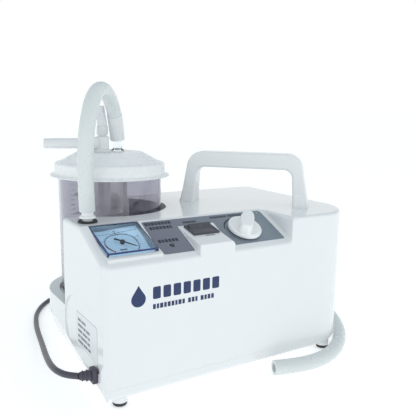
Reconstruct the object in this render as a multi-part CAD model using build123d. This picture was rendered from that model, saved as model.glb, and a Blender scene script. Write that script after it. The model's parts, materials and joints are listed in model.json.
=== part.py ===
"""Portable suction pump: a moulded case with a sloping console, a collection jar in a corner niche,
a diagonal carrying handle, and a motor-driven diaphragm pump inside.

Frame: millimetres, +Z up, front towards -Y, origin on the floor under the middle of the case.
"""
from build123d import *
import math
import os

# ---------------------------------------------------------------- driving dimensions
CASE_W = 280.0          # along X
CASE_D = 196.0          # along Y
CASE_TOP = 146.5
PART_LINE = 20.0        # where the upper housing meets the base tray
TRAY_BOTTOM = 10.0
WALL = 2.6
HALF_W = CASE_W / 2
HALF_D = CASE_D / 2
CORNER_SMALL = 9.0      # front left and back right plan corners
CORNER_FRONT = 49.0     # front right plan corner
CORNER_SHELF = 62.0     # back left plan corner, round the jar
TOP_FILLET = 3.2
BLOCK_FILLET = 1.2      # on the raised blocks of the console
BLOCK_RIGHT_FILLET = 5.0

# console slope, cut across the front left part of the top
LIP_Z = 122.3
CONSOLE_BACK_Y = -46.3
CONSOLE_END_X = 49.7
SLOPE = math.degrees(math.atan2(CASE_TOP - LIP_Z, HALF_D + CONSOLE_BACK_Y))

# collection jar and its niche
JAR_X = -77.5
JAR_Y = 35.5
NICHE_R = 56.0
NICHE_X = -38.6
NICHE_Y = -3.4
SHELF_Z = 64.6
SEAT_Z = 60.6
SEAT_R = 52.6
JAR_R_TOP = 52.0
JAR_R_BOTTOM = 50.0
JAR_WALL = 2.2
JAR_BASE_Z = SEAT_Z + 0.2
JAR_RIM_Z = 187.0
LID_R = 54.6
LID_FLANGE_R = 59.2
LID_BOTTOM_Z = 178.5
LID_SHOULDER_Z = 192.0
LID_TOP_Z = 201.8
LID_TOP_R = 33.0
SEAL_T = 1.6

# ports on the lid
PORT_AT = (-86.0, 34.0)
PORT_Z = 210.5
PORT_TURN = 168.0       # the side pipe's direction in plan, from +X
PORT_R = 5.0
PORT_BORE_R = 3.4
PORT_LENGTH = 56.0
PORT_ROOT_R = 6.1       # the side pipe's thicker root
PORT_ROOT_L = 9.0
CAP_STEM_R = (5.0, 3.9)
CAP_STEM_H = 20.0
CAP_STEM_LEAN = 6.0
CAP_STEM_TURN = 141.4   # leans away from the loop of hose
NOZZLE_AT = (-68.5, 38.0)
CAGE_R = 16.5
BALL_R = 12.0
BALL_Z = 149.0

# gauge
GAUGE_X = -109.3
GAUGE_Y = -67.0
GAUGE_Z = 138.95        # middle of the window's outer face
GAUGE_TILT = 18.1
GAUGE_W = 45.5
GAUGE_L = 46.8
LENS_H = 6.0
LENS_PROUD = 2.6
DIAL_T = 0.8
GAUGE_CAN_R = 20.0
GAUGE_CAN_L = 20.0

# rocker switch
SWITCH_X0 = -51.5
SWITCH_X1 = -15.0
SWITCH_BACK_Y = -58.6
SWITCH_TILT = 12.4
SWITCH_CX = -34.3
SWITCH_CY = -70.8
BEZEL_W = 27.0
BEZEL_L = 19.0
ROCKER_TILT = 12.0

# regulator knob
KNOB_X = 10.5
KNOB_Y = -73.8
KNOB_R = 16.5
KNOB_ANGLE = 52.0       # the bar's direction in the console's plane

# vacuum inlet
INLET_X = -126.6
INLET_Y = -30.3

# handle, on a 45 degree diagonal
HANDLE_X = 57.3
HANDLE_Y = -8.5
HANDLE_ANGLE = -45.0
HANDLE_TOP_Z = 201.0
HANDLE_UNDER_Z = 184.5
HANDLE_FOOT_OUT = 68.6
HANDLE_FOOT_IN = 52.6

# feet
FOOT_R = 6.6
PAD_R = 6.2
PAD_H = 3.6
FEET = [(-122.0, -86.0), (109.0, -85.0), (122.0, 82.0), (-106.0, 72.0)]

# pump
PUMP_Y = 32.0
SHAFT_Z = 66.0
SHAFT_R = 4.0
ECCENTRICITY = 3.0
CRANK_X0 = -2.0
CRANK_X1 = 44.0
STATOR_X0 = 60.0
STATOR_X1 = 98.0
PLATE_Z = 26.0
CRANK_MID = (CRANK_X0 + CRANK_X1) / 2
PUMP_MOUNTS = [(x, PUMP_Y + side) for x in (8.0, 98.0) for side in (-24, 24)]
HEAD_SCREWS = [(CRANK_MID + sx * 18.5, PUMP_Y + sy * 21) for sx in (-1, 1) for sy in (-1, 1)]
SILENCER_Y = 84.0
SILENCER_Z = 40.0

# leads and hoses
CORD_D = 5.6
CORD_EXIT = (-140.0, -79.0, 28.0)
NECK_DIR = (-0.80, 0.59, -0.10)
CORD_COIL_R = 32.0
CORD_COIL_AT = (-28.0, 192.0)
PLUG_Z = 10.5
HOSE_D = 14.0
HOSE_COIL_R = 77.0
HOSE_COIL_AT = (148.0, 212.0)
EXHAUST_X = 100.0
EXHAUST_Z = 36.0

HANDLE_REACH = (HANDLE_FOOT_OUT + HANDLE_FOOT_IN) / 2 * math.cos(math.radians(HANDLE_ANGLE))
HANDLE_SCREWS = [(HANDLE_X + side * HANDLE_REACH, HANDLE_Y - side * HANDLE_REACH) for side in (-1, 1)]

NODES = {}


# ---------------------------------------------------------------- helpers
def ring(r_out, r_in, z0, z1, x=0.0, y=0.0):
    """A plain upright ring, or a disc when r_in is 0."""
    body = Pos(x, y, (z0 + z1) / 2) * Cylinder(r_out, z1 - z0)
    if r_in > 0:
        body -= Pos(x, y, (z0 + z1) / 2) * Cylinder(r_in, z1 - z0 + 1)
    return body


def block(x0, x1, y0, y1, z0, z1):
    """A box given by its limits."""
    return Pos((x0 + x1) / 2, (y0 + y1) / 2, (z0 + z1) / 2) * Box(x1 - x0, y1 - y0, z1 - z0)


def along_x(r, x0, x1, y, z):
    """A round bar parallel to X."""
    return Pos((x0 + x1) / 2, y, z) * Rot(0, 90, 0) * Cylinder(r, x1 - x0)


def spun(points, x=0.0, y=0.0):
    """A solid of revolution about an upright axis, from (radius, z) points."""
    profile = make_face(Plane.XZ * Polyline(*points, close=True))
    return Pos(x, y, 0) * revolve(profile, Axis.Z)


def prism_x(points, x0, x1):
    """A prism along X from (y, z) points."""
    face = make_face(Plane.YZ * Polyline(*points, close=True))
    return Pos(x0, 0, 0) * extrude(face, x1 - x0, dir=(1, 0, 0))


def tilted(x, y, z, tilt):
    """A plane facing up and to the front by tilt degrees, with its X along the row's X."""
    a = math.radians(tilt)
    return Plane(origin=(x, y, z), x_dir=(1, 0, 0), z_dir=(0, -math.sin(a), math.cos(a)))


def keep(name, shape):
    """Stores a finished piece under its node's name."""
    NODES[name] = shape


# ---------------------------------------------------------------- case
def outline(inset):
    """The case's plan, with its four different corners."""
    w = HALF_W - inset
    d = HALF_D - inset
    corners = [(-w, -d), (w, -d), (w, d), (-w, d)]
    radii = [r - inset for r in (CORNER_SMALL, CORNER_FRONT, CORNER_SMALL, CORNER_SHELF)]
    return make_face(FilletPolyline(*corners, radius=radii, close=True))


def console_z(y):
    """Height of the console's slope at a given y."""
    return LIP_Z + (y + HALF_D) * math.tan(math.radians(SLOPE))


def switch_block_z(y):
    """Height of the switch block's top at a given y."""
    back_z = console_z(SWITCH_BACK_Y)
    return back_z + (y - SWITCH_BACK_Y) * math.tan(math.radians(SWITCH_TILT))


def gauge_block_z(y):
    """Height of the gauge block's top, which the window stands proud of."""
    lean = math.radians(GAUGE_TILT)
    return GAUGE_Z - LENS_PROUD / math.cos(lean) + (y - GAUGE_Y) * math.tan(lean)


SWITCH_PLANE = tilted(SWITCH_CX, SWITCH_CY, switch_block_z(SWITCH_CY), SWITCH_TILT)
KNOB_PLANE = tilted(KNOB_X, KNOB_Y, console_z(KNOB_Y), SLOPE)
GAUGE_PLANE = tilted(GAUGE_X, GAUGE_Y, GAUGE_Z, GAUGE_TILT)
CONSOLE_PLANE = tilted(0, (CONSOLE_BACK_Y - HALF_D) / 2, (LIP_Z + CASE_TOP) / 2, SLOPE)
LED_PLANE = tilted(-70.1, -81.1, console_z(-81.1), SLOPE)
CASE_SCREWS = [(-60.0, -84.0), (96.0, -74.0), (126.0, 74.0), (-114.0, 8.0)]


def console_cut(inset):
    """What is removed above the console's slope."""
    drop = inset / math.cos(math.radians(SLOPE))
    back = CONSOLE_BACK_Y + inset * math.tan(math.radians(SLOPE / 2))
    y0 = -HALF_D - 20
    points = [(back, CASE_TOP - inset), (back, CASE_TOP + 20), (y0, CASE_TOP + 20)]
    points += [(y0, console_z(y0) - drop)]
    return prism_x(points, -HALF_W - 20, CONSOLE_END_X + inset)


def niche(inset):
    """The corner space in which the jar stands, open to the left and to the back."""
    low = SHELF_Z - inset
    high = CASE_TOP + 20
    space = block(-HALF_W - 20, NICHE_X + inset, NICHE_Y - inset, HALF_D + 20, low, high)
    return space + ring(NICHE_R + inset, 0, low, high, JAR_X, JAR_Y)


def left_bevel(inset):
    """The undercut along the bottom of the left side, which widens towards the back."""
    plane = Plane(origin=(-HALF_W, -53, 26), z_dir=(-1, 0.084, -0.381))
    return plane.offset(-inset) * Pos(0, 0, 100) * Box(400, 400, 200)


def left_recess():
    """A shallow round-ended recess in the left side, for the rating plate."""
    slot = extrude(SlotCenterToCenter(38, 56, rotation=90), 1.0, both=True)
    return Pos(-HALF_W, -49, 53) * Rot(0, -90, 0) * slot


def soft_top(wedge):
    """A raised wedge with its upper and front edges rounded, most of all the right one."""
    along = wedge.edges().filter_by(lambda e: e.center().Z > LIP_Z and abs(e.tangent_at(0.5).Y) > 0.5)
    wedge = fillet(along.sort_by(Axis.X)[-1], BLOCK_RIGHT_FILLET)
    rim = wedge.edges().filter_by(
        lambda e: e.center().Z > LIP_Z and e.center().Y < SWITCH_BACK_Y + 1 and e.center().X < SWITCH_X1 - 9
    )
    return fillet(rim, BLOCK_FILLET)


def case_volume(inset):
    """The upper case as a closed volume, its faces moved in by inset."""
    body = Pos(0, 0, PART_LINE - inset) * extrude(outline(inset), CASE_TOP - PART_LINE)
    body -= console_cut(inset)
    if inset == 0:
        rim = body.edges().filter_by(lambda e: e.center().Z > LIP_Z - 1 and abs(e.tangent_at(0.5).Z) < 0.9)
        body = fillet(rim, TOP_FILLET)
    wedge = [(-HALF_D + inset, LIP_Z - 8), (-HALF_D + inset, switch_block_z(-HALF_D) - inset)]
    wedge += [(SWITCH_BACK_Y, switch_block_z(SWITCH_BACK_Y) - inset), (SWITCH_BACK_Y, LIP_Z)]
    raised = prism_x(wedge, SWITCH_X0 + inset, SWITCH_X1 - inset)
    if inset == 0:
        raised = soft_top(raised)
    body += raised
    body -= niche(inset)
    body -= left_bevel(inset)
    return body


def gauge_pocket():
    """The pocket that the gauge drops into, and the hole for its can."""
    pocket = Pos(0, 0, 10 - LENS_H) * Box(GAUGE_W + 0.6, GAUGE_L + 0.6, 20)
    can_hole = Pos(0, 0, -GAUGE_CAN_L) * Cylinder(GAUGE_CAN_R + 0.4, 40)
    return GAUGE_PLANE * (pocket + can_hole)


def gauge_block():
    """The wedge that frames the gauge, and the boss under it."""
    front = GAUGE_Y - GAUGE_L / 2 - 2.4
    back = GAUGE_Y + GAUGE_L / 2 + 2.0
    half = GAUGE_W / 2 + 1.9
    frame_part = [(front, console_z(front) - 12), (front, gauge_block_z(front))]
    frame_part += [(back, gauge_block_z(back)), (back, console_z(front) - 12)]
    wedge = prism_x(frame_part, GAUGE_X - half, GAUGE_X + half)
    boss = GAUGE_PLANE * Pos(0, 0, -LENS_H / 2 - 4.5) * Box(GAUGE_W + 5, GAUGE_L + 4, LENS_H + 6)
    return wedge, boss


def upper_housing():
    """The one-piece moulded cover, open underneath."""
    outer = case_volume(0)
    inner = case_volume(WALL)
    wedge, boss = gauge_block()
    shell = outer - inner
    shell += wedge - (inner - block(-150, 0, -150, 0, LIP_Z - 8, 200))
    shell += boss & (outer + wedge)
    seat_wall = ring(SEAT_R + WALL, 0, SEAT_Z - WALL, SHELF_Z, JAR_X, JAR_Y) & outer
    shell += seat_wall
    shell -= gauge_pocket()
    shell -= SWITCH_PLANE * Box(BEZEL_W - 3, BEZEL_L - 3, 30)
    shell -= KNOB_PLANE * Cylinder(4.2, 30)
    shell += ring(11.5, 0, CASE_TOP - 1, CASE_TOP + 1.4, INLET_X, INLET_Y) & outer
    shell -= ring(8.6, 0, CASE_TOP - 10, CASE_TOP + 5, INLET_X, INLET_Y)
    shell -= left_recess()
    shell -= along_x(5.1, -HALF_W - 6, -HALF_W + 6, CORD_EXIT[1], CORD_EXIT[2])
    shell -= Pos(EXHAUST_X, HALF_D, EXHAUST_Z) * Rot(90, 0, 0) * Cylinder(5.1, 12)
    shell -= LED_PLANE * Cylinder(2.6, 16)
    for x, y in CASE_SCREWS:
        shell += ring(4.2, 0, PART_LINE, CASE_TOP, x, y) & outer
        shell -= ring(1.45, 0, PART_LINE - 1, 50, x, y)
    for x, y in HANDLE_SCREWS:
        shell -= ring(2.4, 0, CASE_TOP - 5, CASE_TOP + 5, x, y)
    shell -= ring(SEAT_R, 0, SEAT_Z, SHELF_Z + 1, JAR_X, JAR_Y)
    keep("upper_housing", shell)


def base_tray():
    """The bottom tray with its foot stems, pump bosses and vent slots."""
    outer = Pos(0, 0, TRAY_BOTTOM) * extrude(outline(0), PART_LINE - TRAY_BOTTOM)
    outer -= left_bevel(0)
    low = outer.edges().filter_by(lambda e: e.center().Z < TRAY_BOTTOM + 0.1)
    outer = fillet(low, 4.5)
    inner = Pos(0, 0, TRAY_BOTTOM + WALL) * extrude(outline(WALL), PART_LINE)
    inner -= left_bevel(WALL)
    tray = outer - inner
    for x, y in FEET:
        tray += ring(FOOT_R, 0, PAD_H, TRAY_BOTTOM + WALL, x, y)
    for x, y in CASE_SCREWS:
        tray += ring(5.2, 0, TRAY_BOTTOM, PART_LINE, x, y)
        tray -= ring(1.8, 0, TRAY_BOTTOM - 1, PART_LINE + 1, x, y)
        tray -= ring(3.6, 0, TRAY_BOTTOM - 1, TRAY_BOTTOM + 4, x, y)
    for x, y in PUMP_MOUNTS:
        tray += ring(7.0, 0, TRAY_BOTTOM + WALL, 16, x, y)
    for i in range(7):
        x = 10 + 12 * i
        tray -= Pos(x, -50, TRAY_BOTTOM) * extrude(SlotOverall(44, 4, rotation=90), 8, both=True)
    keep("base_tray", tray)


def feet():
    """Four domed rubber pads under the stems."""
    pads = []
    for x, y in FEET:
        pad = ring(PAD_R, 0, 0, PAD_H, x, y)
        pads.append(fillet(pad.edges().sort_by(Axis.Z)[0], 1.8))
    keep("foot_pads", Compound(children=pads))


def case_screws():
    """Screws that hold the tray to the upper housing, from below."""
    screws = []
    for x, y in CASE_SCREWS:
        screw = ring(3.3, 0, TRAY_BOTTOM + 1.2, TRAY_BOTTOM + 4, x, y)
        screw += ring(1.45, 0, TRAY_BOTTOM + 4, 38, x, y)
        screw -= Pos(x, y, TRAY_BOTTOM + 1.2) * Box(4, 0.9, 1.6)
        screw -= Pos(x, y, TRAY_BOTTOM + 1.2) * Box(0.9, 4, 1.6)
        screws.append(screw)
    keep("case_screws", Compound(children=screws))


def handle():
    """The carrying handle: a strap bent over two splayed legs, wider at its feet."""
    z0 = CASE_TOP
    out = [(-HANDLE_FOOT_OUT, z0), (-59, HANDLE_TOP_Z), (59, HANDLE_TOP_Z), (HANDLE_FOOT_OUT, z0)]
    inn = [(-HANDLE_FOOT_IN, z0 - 1), (-50.4, HANDLE_UNDER_Z)]
    inn += [(50.4, HANDLE_UNDER_Z), (HANDLE_FOOT_IN, z0 - 1)]
    out_line = FilletPolyline(*out, radius=[0, 17, 17, 0], close=True)
    inn_line = FilletPolyline(*inn, radius=[0, 9, 9, 0], close=True)
    profile = make_face(Plane.XZ * out_line) - make_face(Plane.XZ * inn_line)
    arch = extrude(profile, 15, both=True)
    side = [(-14, z0), (-10.6, z0 + 13), (-10, HANDLE_TOP_Z), (10, HANDLE_TOP_Z), (10.6, z0 + 13), (14, z0)]
    arch = arch & prism_x(side, -90, 90)
    long_edges = arch.edges().filter_by(lambda e: e.center().Z > z0 + 0.5)
    arch = fillet(long_edges, 2.4)
    arch = Pos(HANDLE_X, HANDLE_Y, 0) * Rot(0, 0, HANDLE_ANGLE) * arch
    for x, y in HANDLE_SCREWS:
        arch -= ring(2.0, 0, z0 - 1, z0 + 26, x, y)
    keep("handle", arch)


def handle_screws():
    """One screw up into each leg, from inside the housing, with a washer."""
    screws = []
    inside = CASE_TOP - WALL
    for x, y in HANDLE_SCREWS:
        screw = ring(1.95, 0, inside - 0.5, CASE_TOP + 24, x, y) + ring(5.5, 0, inside - 1.6, inside, x, y)
        screw += ring(4.0, 0, inside - 4.4, inside - 1.6, x, y)
        screws.append(screw)
    keep("handle_screws", Compound(children=screws))


# ---------------------------------------------------------------- console
def console_overlay():
    """The thin printed sheet on the slope, cut round the switch block, lamp and knob."""
    left = GAUGE_X + GAUGE_W / 2 + 2.3
    points = [(left, -20.5), (-52.9, -20.5), (-52.9, 15.2), (-14.0, 15.2), (-14.0, -20.5), (46.6, -20.5)]
    points += [(46.6, 25.6), (left, 25.6)]
    sheet = make_face(FilletPolyline(*points, radius=[4.5, 0.5, 1.0, 1.0, 0.5, 1.5, 3.5, 1.5], close=True))
    sheet = CONSOLE_PLANE * extrude(sheet, 0.5)
    sheet -= LED_PLANE * Cylinder(2.9, 10)
    sheet -= KNOB_PLANE * Cylinder(4.6, 10)
    keep("console_overlay", sheet)


def power_lamp():
    """The domed power lamp."""
    lens = Pos(0, 0, -4) * Cylinder(2.4, 10)
    lens = fillet(lens.edges().sort_by(Axis.Z)[-1], 1.4)
    keep("power_lamp", LED_PLANE * lens)


def gauge():
    """The vacuum gauge: can, dial plate, needle and clear window."""
    wall = 1.7
    window = Pos(0, 0, -LENS_H / 2) * Box(GAUGE_W, GAUGE_L, LENS_H)
    window = fillet(window.edges().filter_by(Axis.Z), 1.2)
    window -= Pos(0, 0, -LENS_H / 2 - wall) * Box(GAUGE_W - 2 * wall, GAUGE_L - 2 * wall, LENS_H)
    keep("gauge_window", GAUGE_PLANE * window)
    inner_w = GAUGE_W - 2 * wall - 0.3
    inner_l = GAUGE_L - 2 * wall - 0.3
    dial = Pos(0, 0, -LENS_H + DIAL_T / 2) * Box(inner_w, inner_l, DIAL_T)
    dial -= Cylinder(1.2, 40)
    keep("gauge_dial", GAUGE_PLANE * dial)
    can_top = -LENS_H
    can = Pos(0, 0, can_top - GAUGE_CAN_L / 2) * Cylinder(GAUGE_CAN_R, GAUGE_CAN_L)
    can -= Pos(0, 0, can_top - GAUGE_CAN_L / 2 + 1) * Cylinder(GAUGE_CAN_R - 1, GAUGE_CAN_L - 1)
    can += Pos(0, 0, can_top - GAUGE_CAN_L - 4) * Cylinder(4.5, 8)
    can -= Pos(0, 0, can_top - GAUGE_CAN_L - 6) * Cylinder(1.5, 10)
    keep("gauge_can", GAUGE_PLANE * can)
    tube = Pos(0, 0, can_top - 9) * (Cylinder(14, 5) - Cylinder(10.5, 6))
    tube -= Pos(12, -8, can_top - 9) * Box(16, 16, 6)
    keep("bourdon_tube", GAUGE_PLANE * tube)
    angle = -45
    needle = Pos(3.5, 0, 0) * Box(20, 0.9, 0.4) + Pos(-5, 0, 0) * Box(5, 2.2, 0.4)
    needle += Cylinder(1.9, 1.0)
    needle += Pos(0, 0, -4) * Cylinder(0.9, 8)
    keep("gauge_needle", GAUGE_PLANE * Pos(0, 0, -LENS_H + DIAL_T + 1.2) * Rot(0, 0, angle) * needle)


def switch():
    """The mains rocker: a snap-in body with its bezel, and the rocker on its pivot."""
    depth = 22.0
    bezel = Pos(0, 0, 1.0) * Box(BEZEL_W, BEZEL_L, 2.0)
    bezel = fillet(bezel.edges().group_by(Axis.Z)[-1], 0.8)
    bezel += Pos(0, 0, -depth / 2) * Box(BEZEL_W - 3.2, BEZEL_L - 3.2, depth)
    bezel -= Pos(0, 0, -1.5) * Box(23.4, 14.6, 9.0)
    for x in (-8, 0, 8):
        bezel += Pos(x, 0, -depth - 4) * Box(0.8, 6.3, 8)
    keep("switch_body", SWITCH_PLANE * bezel)
    rise = 6.8 * math.tan(math.radians(ROCKER_TILT))
    profile = [(-6.8, -2.6), (0, -4.6), (6.8, -2.6), (6.8, 1.6 + rise), (0, 1.6), (-6.8, 1.6 + rise)]
    rocker = prism_x(profile, -11.4, 11.4) + along_x(1.2, -11.6, 11.6, 0, 0)
    keep("switch_rocker", SWITCH_PLANE * Rot(ROCKER_TILT, 0, 0) * rocker)


def regulator():
    """The vacuum regulator: needle valve, nut, stem and knob."""
    valve = Pos(0, 0, -WALL - 13) * Cylinder(11, 26) + Pos(0, 0, -1.4) * Cylinder(4.1, 2.8)
    valve += Pos(0, 0, -WALL - 30) * Cylinder(3.4, 8)
    valve += Pos(0, 14, -WALL - 16) * Rot(90, 0, 0) * Cylinder(3.4, 12)
    valve -= Pos(0, 0, -9.5) * Cylinder(3.04, 29)
    keep("regulator_valve", KNOB_PLANE * valve)
    stem = Pos(0, 0, -3) * Cylinder(3.0, 30)
    stem += Pos(0, 0, -20) * Cone(1.0, 3.0, 4)
    keep("regulator_stem", KNOB_PLANE * stem)
    knob = Pos(0, 0, 3.6) * Cylinder(KNOB_R, 5.0)
    knob = fillet(knob.edges().sort_by(Axis.Z)[-1], 1.6)
    bar = extrude(SlotOverall(2 * KNOB_R - 1, 8.5), 9.0)
    bar = Pos(0, 0, 6.0) * bar
    bar = fillet(bar.edges().group_by(Axis.Z)[-1], 1.5)
    knob += bar
    knob -= Pos(0, 0, 2.0) * Cylinder(3.02, 20)
    keep("regulator_knob", KNOB_PLANE * Rot(0, 0, KNOB_ANGLE) * knob)


# ---------------------------------------------------------------- jar and lid
def jar():
    """The clear collection jar with its thicker rim."""
    z0 = JAR_BASE_Z
    rim = JAR_RIM_Z
    points = [(0, z0), (JAR_R_BOTTOM - 4, z0), (JAR_R_BOTTOM, z0 + 4), (JAR_R_TOP, rim)]
    inside = JAR_R_BOTTOM - JAR_WALL
    points += [(JAR_R_TOP - JAR_WALL, rim), (inside, z0 + 6), (inside - 3, z0 + 3), (0, z0 + 3)]
    keep("collection_jar", spun(points, JAR_X, JAR_Y))


def lid():
    """The push-on lid, with its flange, shoulder and three ports' seats."""
    under = JAR_RIM_Z + SEAL_T
    t = 2.0
    points = [(0, LID_TOP_Z), (LID_TOP_R, LID_TOP_Z), (50, LID_SHOULDER_Z), (53.4, LID_SHOULDER_Z)]
    points += [(LID_R, LID_SHOULDER_Z - 1.2), (LID_R, LID_BOTTOM_Z + 2), (LID_FLANGE_R, LID_BOTTOM_Z + 1.6)]
    points += [(LID_FLANGE_R, LID_BOTTOM_Z + 0.2), (JAR_R_TOP + 0.4, LID_BOTTOM_Z), (JAR_R_TOP + 0.4, under)]
    points += [(47.5, under), (47.5, LID_SHOULDER_Z - t)]
    points += [(LID_TOP_R - 1, LID_TOP_Z - t - 0.4), (0, LID_TOP_Z - t - 0.4)]
    cover = spun(points, JAR_X, JAR_Y)
    cover -= ring(3.2, 0, LID_TOP_Z - 8, LID_TOP_Z + 5, *PORT_AT)
    cover -= ring(3.6, 0, LID_TOP_Z - 8, LID_TOP_Z + 5, *NOZZLE_AT)
    keep("jar_lid", cover)
    keep("lid_seal", ring(JAR_R_TOP - 0.1, 48, JAR_RIM_Z, under, JAR_X, JAR_Y))


def ports():
    """The patient port with its side pipe, the clear vacuum nozzle and the pull-off cap."""
    x, y = PORT_AT
    base = ring(8.5, 2.6, LID_TOP_Z, LID_TOP_Z + 3, x, y)
    post = ring(6.4, 2.6, LID_TOP_Z + 3, PORT_Z + 6.5, x, y)
    neck = ring(4.2, 2.6, PORT_Z + 6.5, PORT_Z + 13, x, y)
    side = Pos(x, y, PORT_Z) * Rot(0, 0, PORT_TURN) * Pos(PORT_LENGTH / 2, 0, 0) * Rot(0, 90, 0)
    pipe = side * Cylinder(PORT_R, PORT_LENGTH)
    pipe += side * Pos(0, 0, (PORT_ROOT_L - PORT_LENGTH) / 2) * Cylinder(PORT_ROOT_R, PORT_ROOT_L)
    bore = side * Pos(0, 0, 1) * Cylinder(PORT_BORE_R, PORT_LENGTH)
    bore += ring(2.6, 0, LID_TOP_Z - 1, PORT_Z + 14, x, y)
    keep("patient_port", base + post + neck + pipe - bore)
    cap = ring(5.6, 4.3, PORT_Z + 8, PORT_Z + 17, x, y) + ring(5.6, 0, PORT_Z + 13.1, PORT_Z + 17, x, y)
    stem = Pos(0, 0, CAP_STEM_H / 2 - 0.7) * Cone(*CAP_STEM_R, CAP_STEM_H)
    cap += Pos(x, y, PORT_Z + 17) * Rot(0, 0, CAP_STEM_TURN) * Rot(0, CAP_STEM_LEAN, 0) * stem
    keep("port_cap", cap)
    x, y = NOZZLE_AT
    nozzle = ring(6.5, 2.4, LID_TOP_Z, LID_TOP_Z + 2, x, y)
    nozzle += ring(4.6, 2.4, LID_TOP_Z + 2, LID_TOP_Z + 12, x, y)
    keep("vacuum_nozzle", nozzle)


def float_valve():
    """The overflow valve under the lid: an open cage and the ball that rises to close it."""
    top = LID_TOP_Z - 2.4
    cage = ring(CAGE_R, CAGE_R - 1.4, 136, top, JAR_X, JAR_Y)
    for turn in (0, 90):
        cage -= Pos(JAR_X, JAR_Y, 158) * Rot(0, 0, turn) * Box(60, 13, 32)
    cage += ring(CAGE_R, 10, 136, 138, JAR_X, JAR_Y)
    cage += ring(CAGE_R, 6, 180, 183, JAR_X, JAR_Y)
    keep("float_cage", cage)
    keep("float_ball", Pos(JAR_X, JAR_Y, BALL_Z) * Sphere(BALL_R))


# ---------------------------------------------------------------- vacuum inlet
def inlet():
    """The rubber grommet in the top, the elbow under it and the hose's plug-in connector."""
    x, y = INLET_X, INLET_Y
    z = CASE_TOP
    keep("inlet_grommet", ring(8.55, 4.75, z - 9, z + 1.6, x, y))
    connector = ring(4.6, 2.4, z - 8, z + 3.4, x, y) + ring(7.0, 2.4, z + 3.4, z + 6, x, y)
    connector += ring(5.4, 2.4, z + 6, z + 10, x, y)
    keep("hose_connector", connector)
    keep("inlet_elbow", ring(6.5, 3.0, z - 26, z - 9, x, y))


# ---------------------------------------------------------------- pump and motor

def pump_frame():
    """Base plate on four rubber mounts, with two saddles for the motor."""
    plate = block(-4, 108, PUMP_Y - 31, PUMP_Y + 31, PLATE_Z, PLATE_Z + 2)
    for x, y in PUMP_MOUNTS:
        plate -= ring(2.2, 0, PLATE_Z - 1, PLATE_Z + 3, x, y)
    keep("pump_mounts", Compound(children=[ring(7.5, 2.2, 16, PLATE_Z, x, y) for x, y in PUMP_MOUNTS]))
    for x in (64, 88):
        saddle = block(x, x + 6, PUMP_Y - 26, PUMP_Y + 26, PLATE_Z + 1, SHAFT_Z - 14)
        plate += saddle - along_x(36.05, x - 1, x + 7, PUMP_Y, SHAFT_Z)
    keep("pump_plate", plate)


def x_ring(r_out, r_in, x0, x1):
    """A ring on the motor's axis."""
    return along_x(r_out, x0, x1, PUMP_Y, SHAFT_Z) - along_x(r_in, x0 - 1, x1 + 1, PUMP_Y, SHAFT_Z)


def motor():
    """Stator, windings, end bells, bearings, rotor with its shaft, and fan."""
    keep("stator_core", x_ring(36, 19.6, STATOR_X0, STATOR_X1))
    coils = [x_ring(33, 22, STATOR_X0 - 9, STATOR_X0), x_ring(33, 22, STATOR_X1, STATOR_X1 + 9)]
    keep("stator_windings", Compound(children=coils))
    front = x_ring(37.5, 34, STATOR_X0 - 13, STATOR_X0) + x_ring(37.5, 14, STATOR_X0 - 15, STATOR_X0 - 12)
    front += x_ring(15, 11, STATOR_X0 - 15, STATOR_X0 - 8)
    keep("front_bell", front)
    rear = x_ring(37.5, 34, STATOR_X1, STATOR_X1 + 13) + x_ring(37.5, 14, STATOR_X1 + 12, STATOR_X1 + 15)
    rear += x_ring(15, 11, STATOR_X1 + 8, STATOR_X1 + 15)
    keep("rear_bell", rear)
    bearings = [x_ring(10.98, SHAFT_R + 0.05, STATOR_X0 - 15, STATOR_X0 - 8)]
    bearings.append(x_ring(10.98, SHAFT_R + 0.05, STATOR_X1 + 8, STATOR_X1 + 15))
    keep("motor_bearings", Compound(children=bearings))
    rotor = along_x(SHAFT_R, 12, 130, PUMP_Y, SHAFT_Z) + x_ring(19, 0.1, STATOR_X0 + 1, STATOR_X1 - 1)
    keep("rotor", rotor)
    hub = x_ring(8, SHAFT_R, 118, 127)
    for i in range(6):
        blade = Pos(0, 0, 18) * Rot(0, 0, 30) * Box(1.6, 12, 24)
        hub += Pos(122.5, PUMP_Y, SHAFT_Z) * Rot(60 * i, 0, 0) * blade
    keep("cooling_fan", hub)


def crank():
    """Crankcase, eccentric, and the rod that drives the diaphragm."""
    case = block(CRANK_X0, CRANK_X1, PUMP_Y - 26, PUMP_Y + 26, PLATE_Z + 2, 98)
    case -= block(CRANK_X0 + 4, CRANK_X1 - 4, PUMP_Y - 21, PUMP_Y + 21, PLATE_Z + 8, 94)
    case -= ring(19, 0, 90, 99, CRANK_MID, PUMP_Y)
    case -= along_x(15.5, CRANK_X1 - 6, CRANK_X1 + 1, PUMP_Y, SHAFT_Z)
    keep("crankcase", case)
    cam = along_x(8, CRANK_MID - 3, CRANK_MID + 3, PUMP_Y + ECCENTRICITY, SHAFT_Z)
    cam -= along_x(SHAFT_R, CRANK_MID - 4, CRANK_MID + 4, PUMP_Y, SHAFT_Z)
    keep("eccentric", cam)
    rod = x_ring(18.5, 14.4, CRANK_MID - 3, CRANK_MID + 3)
    rod += ring(2.5, 0, SHAFT_Z + 16.5, 98, CRANK_MID, PUMP_Y)
    rod += ring(9, 0, 97.4, 100.4, CRANK_MID, PUMP_Y)
    keep("connecting_rod", rod)
    keep("diaphragm", ring(23, 9.5, 98, 100, CRANK_MID, PUMP_Y))


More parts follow.
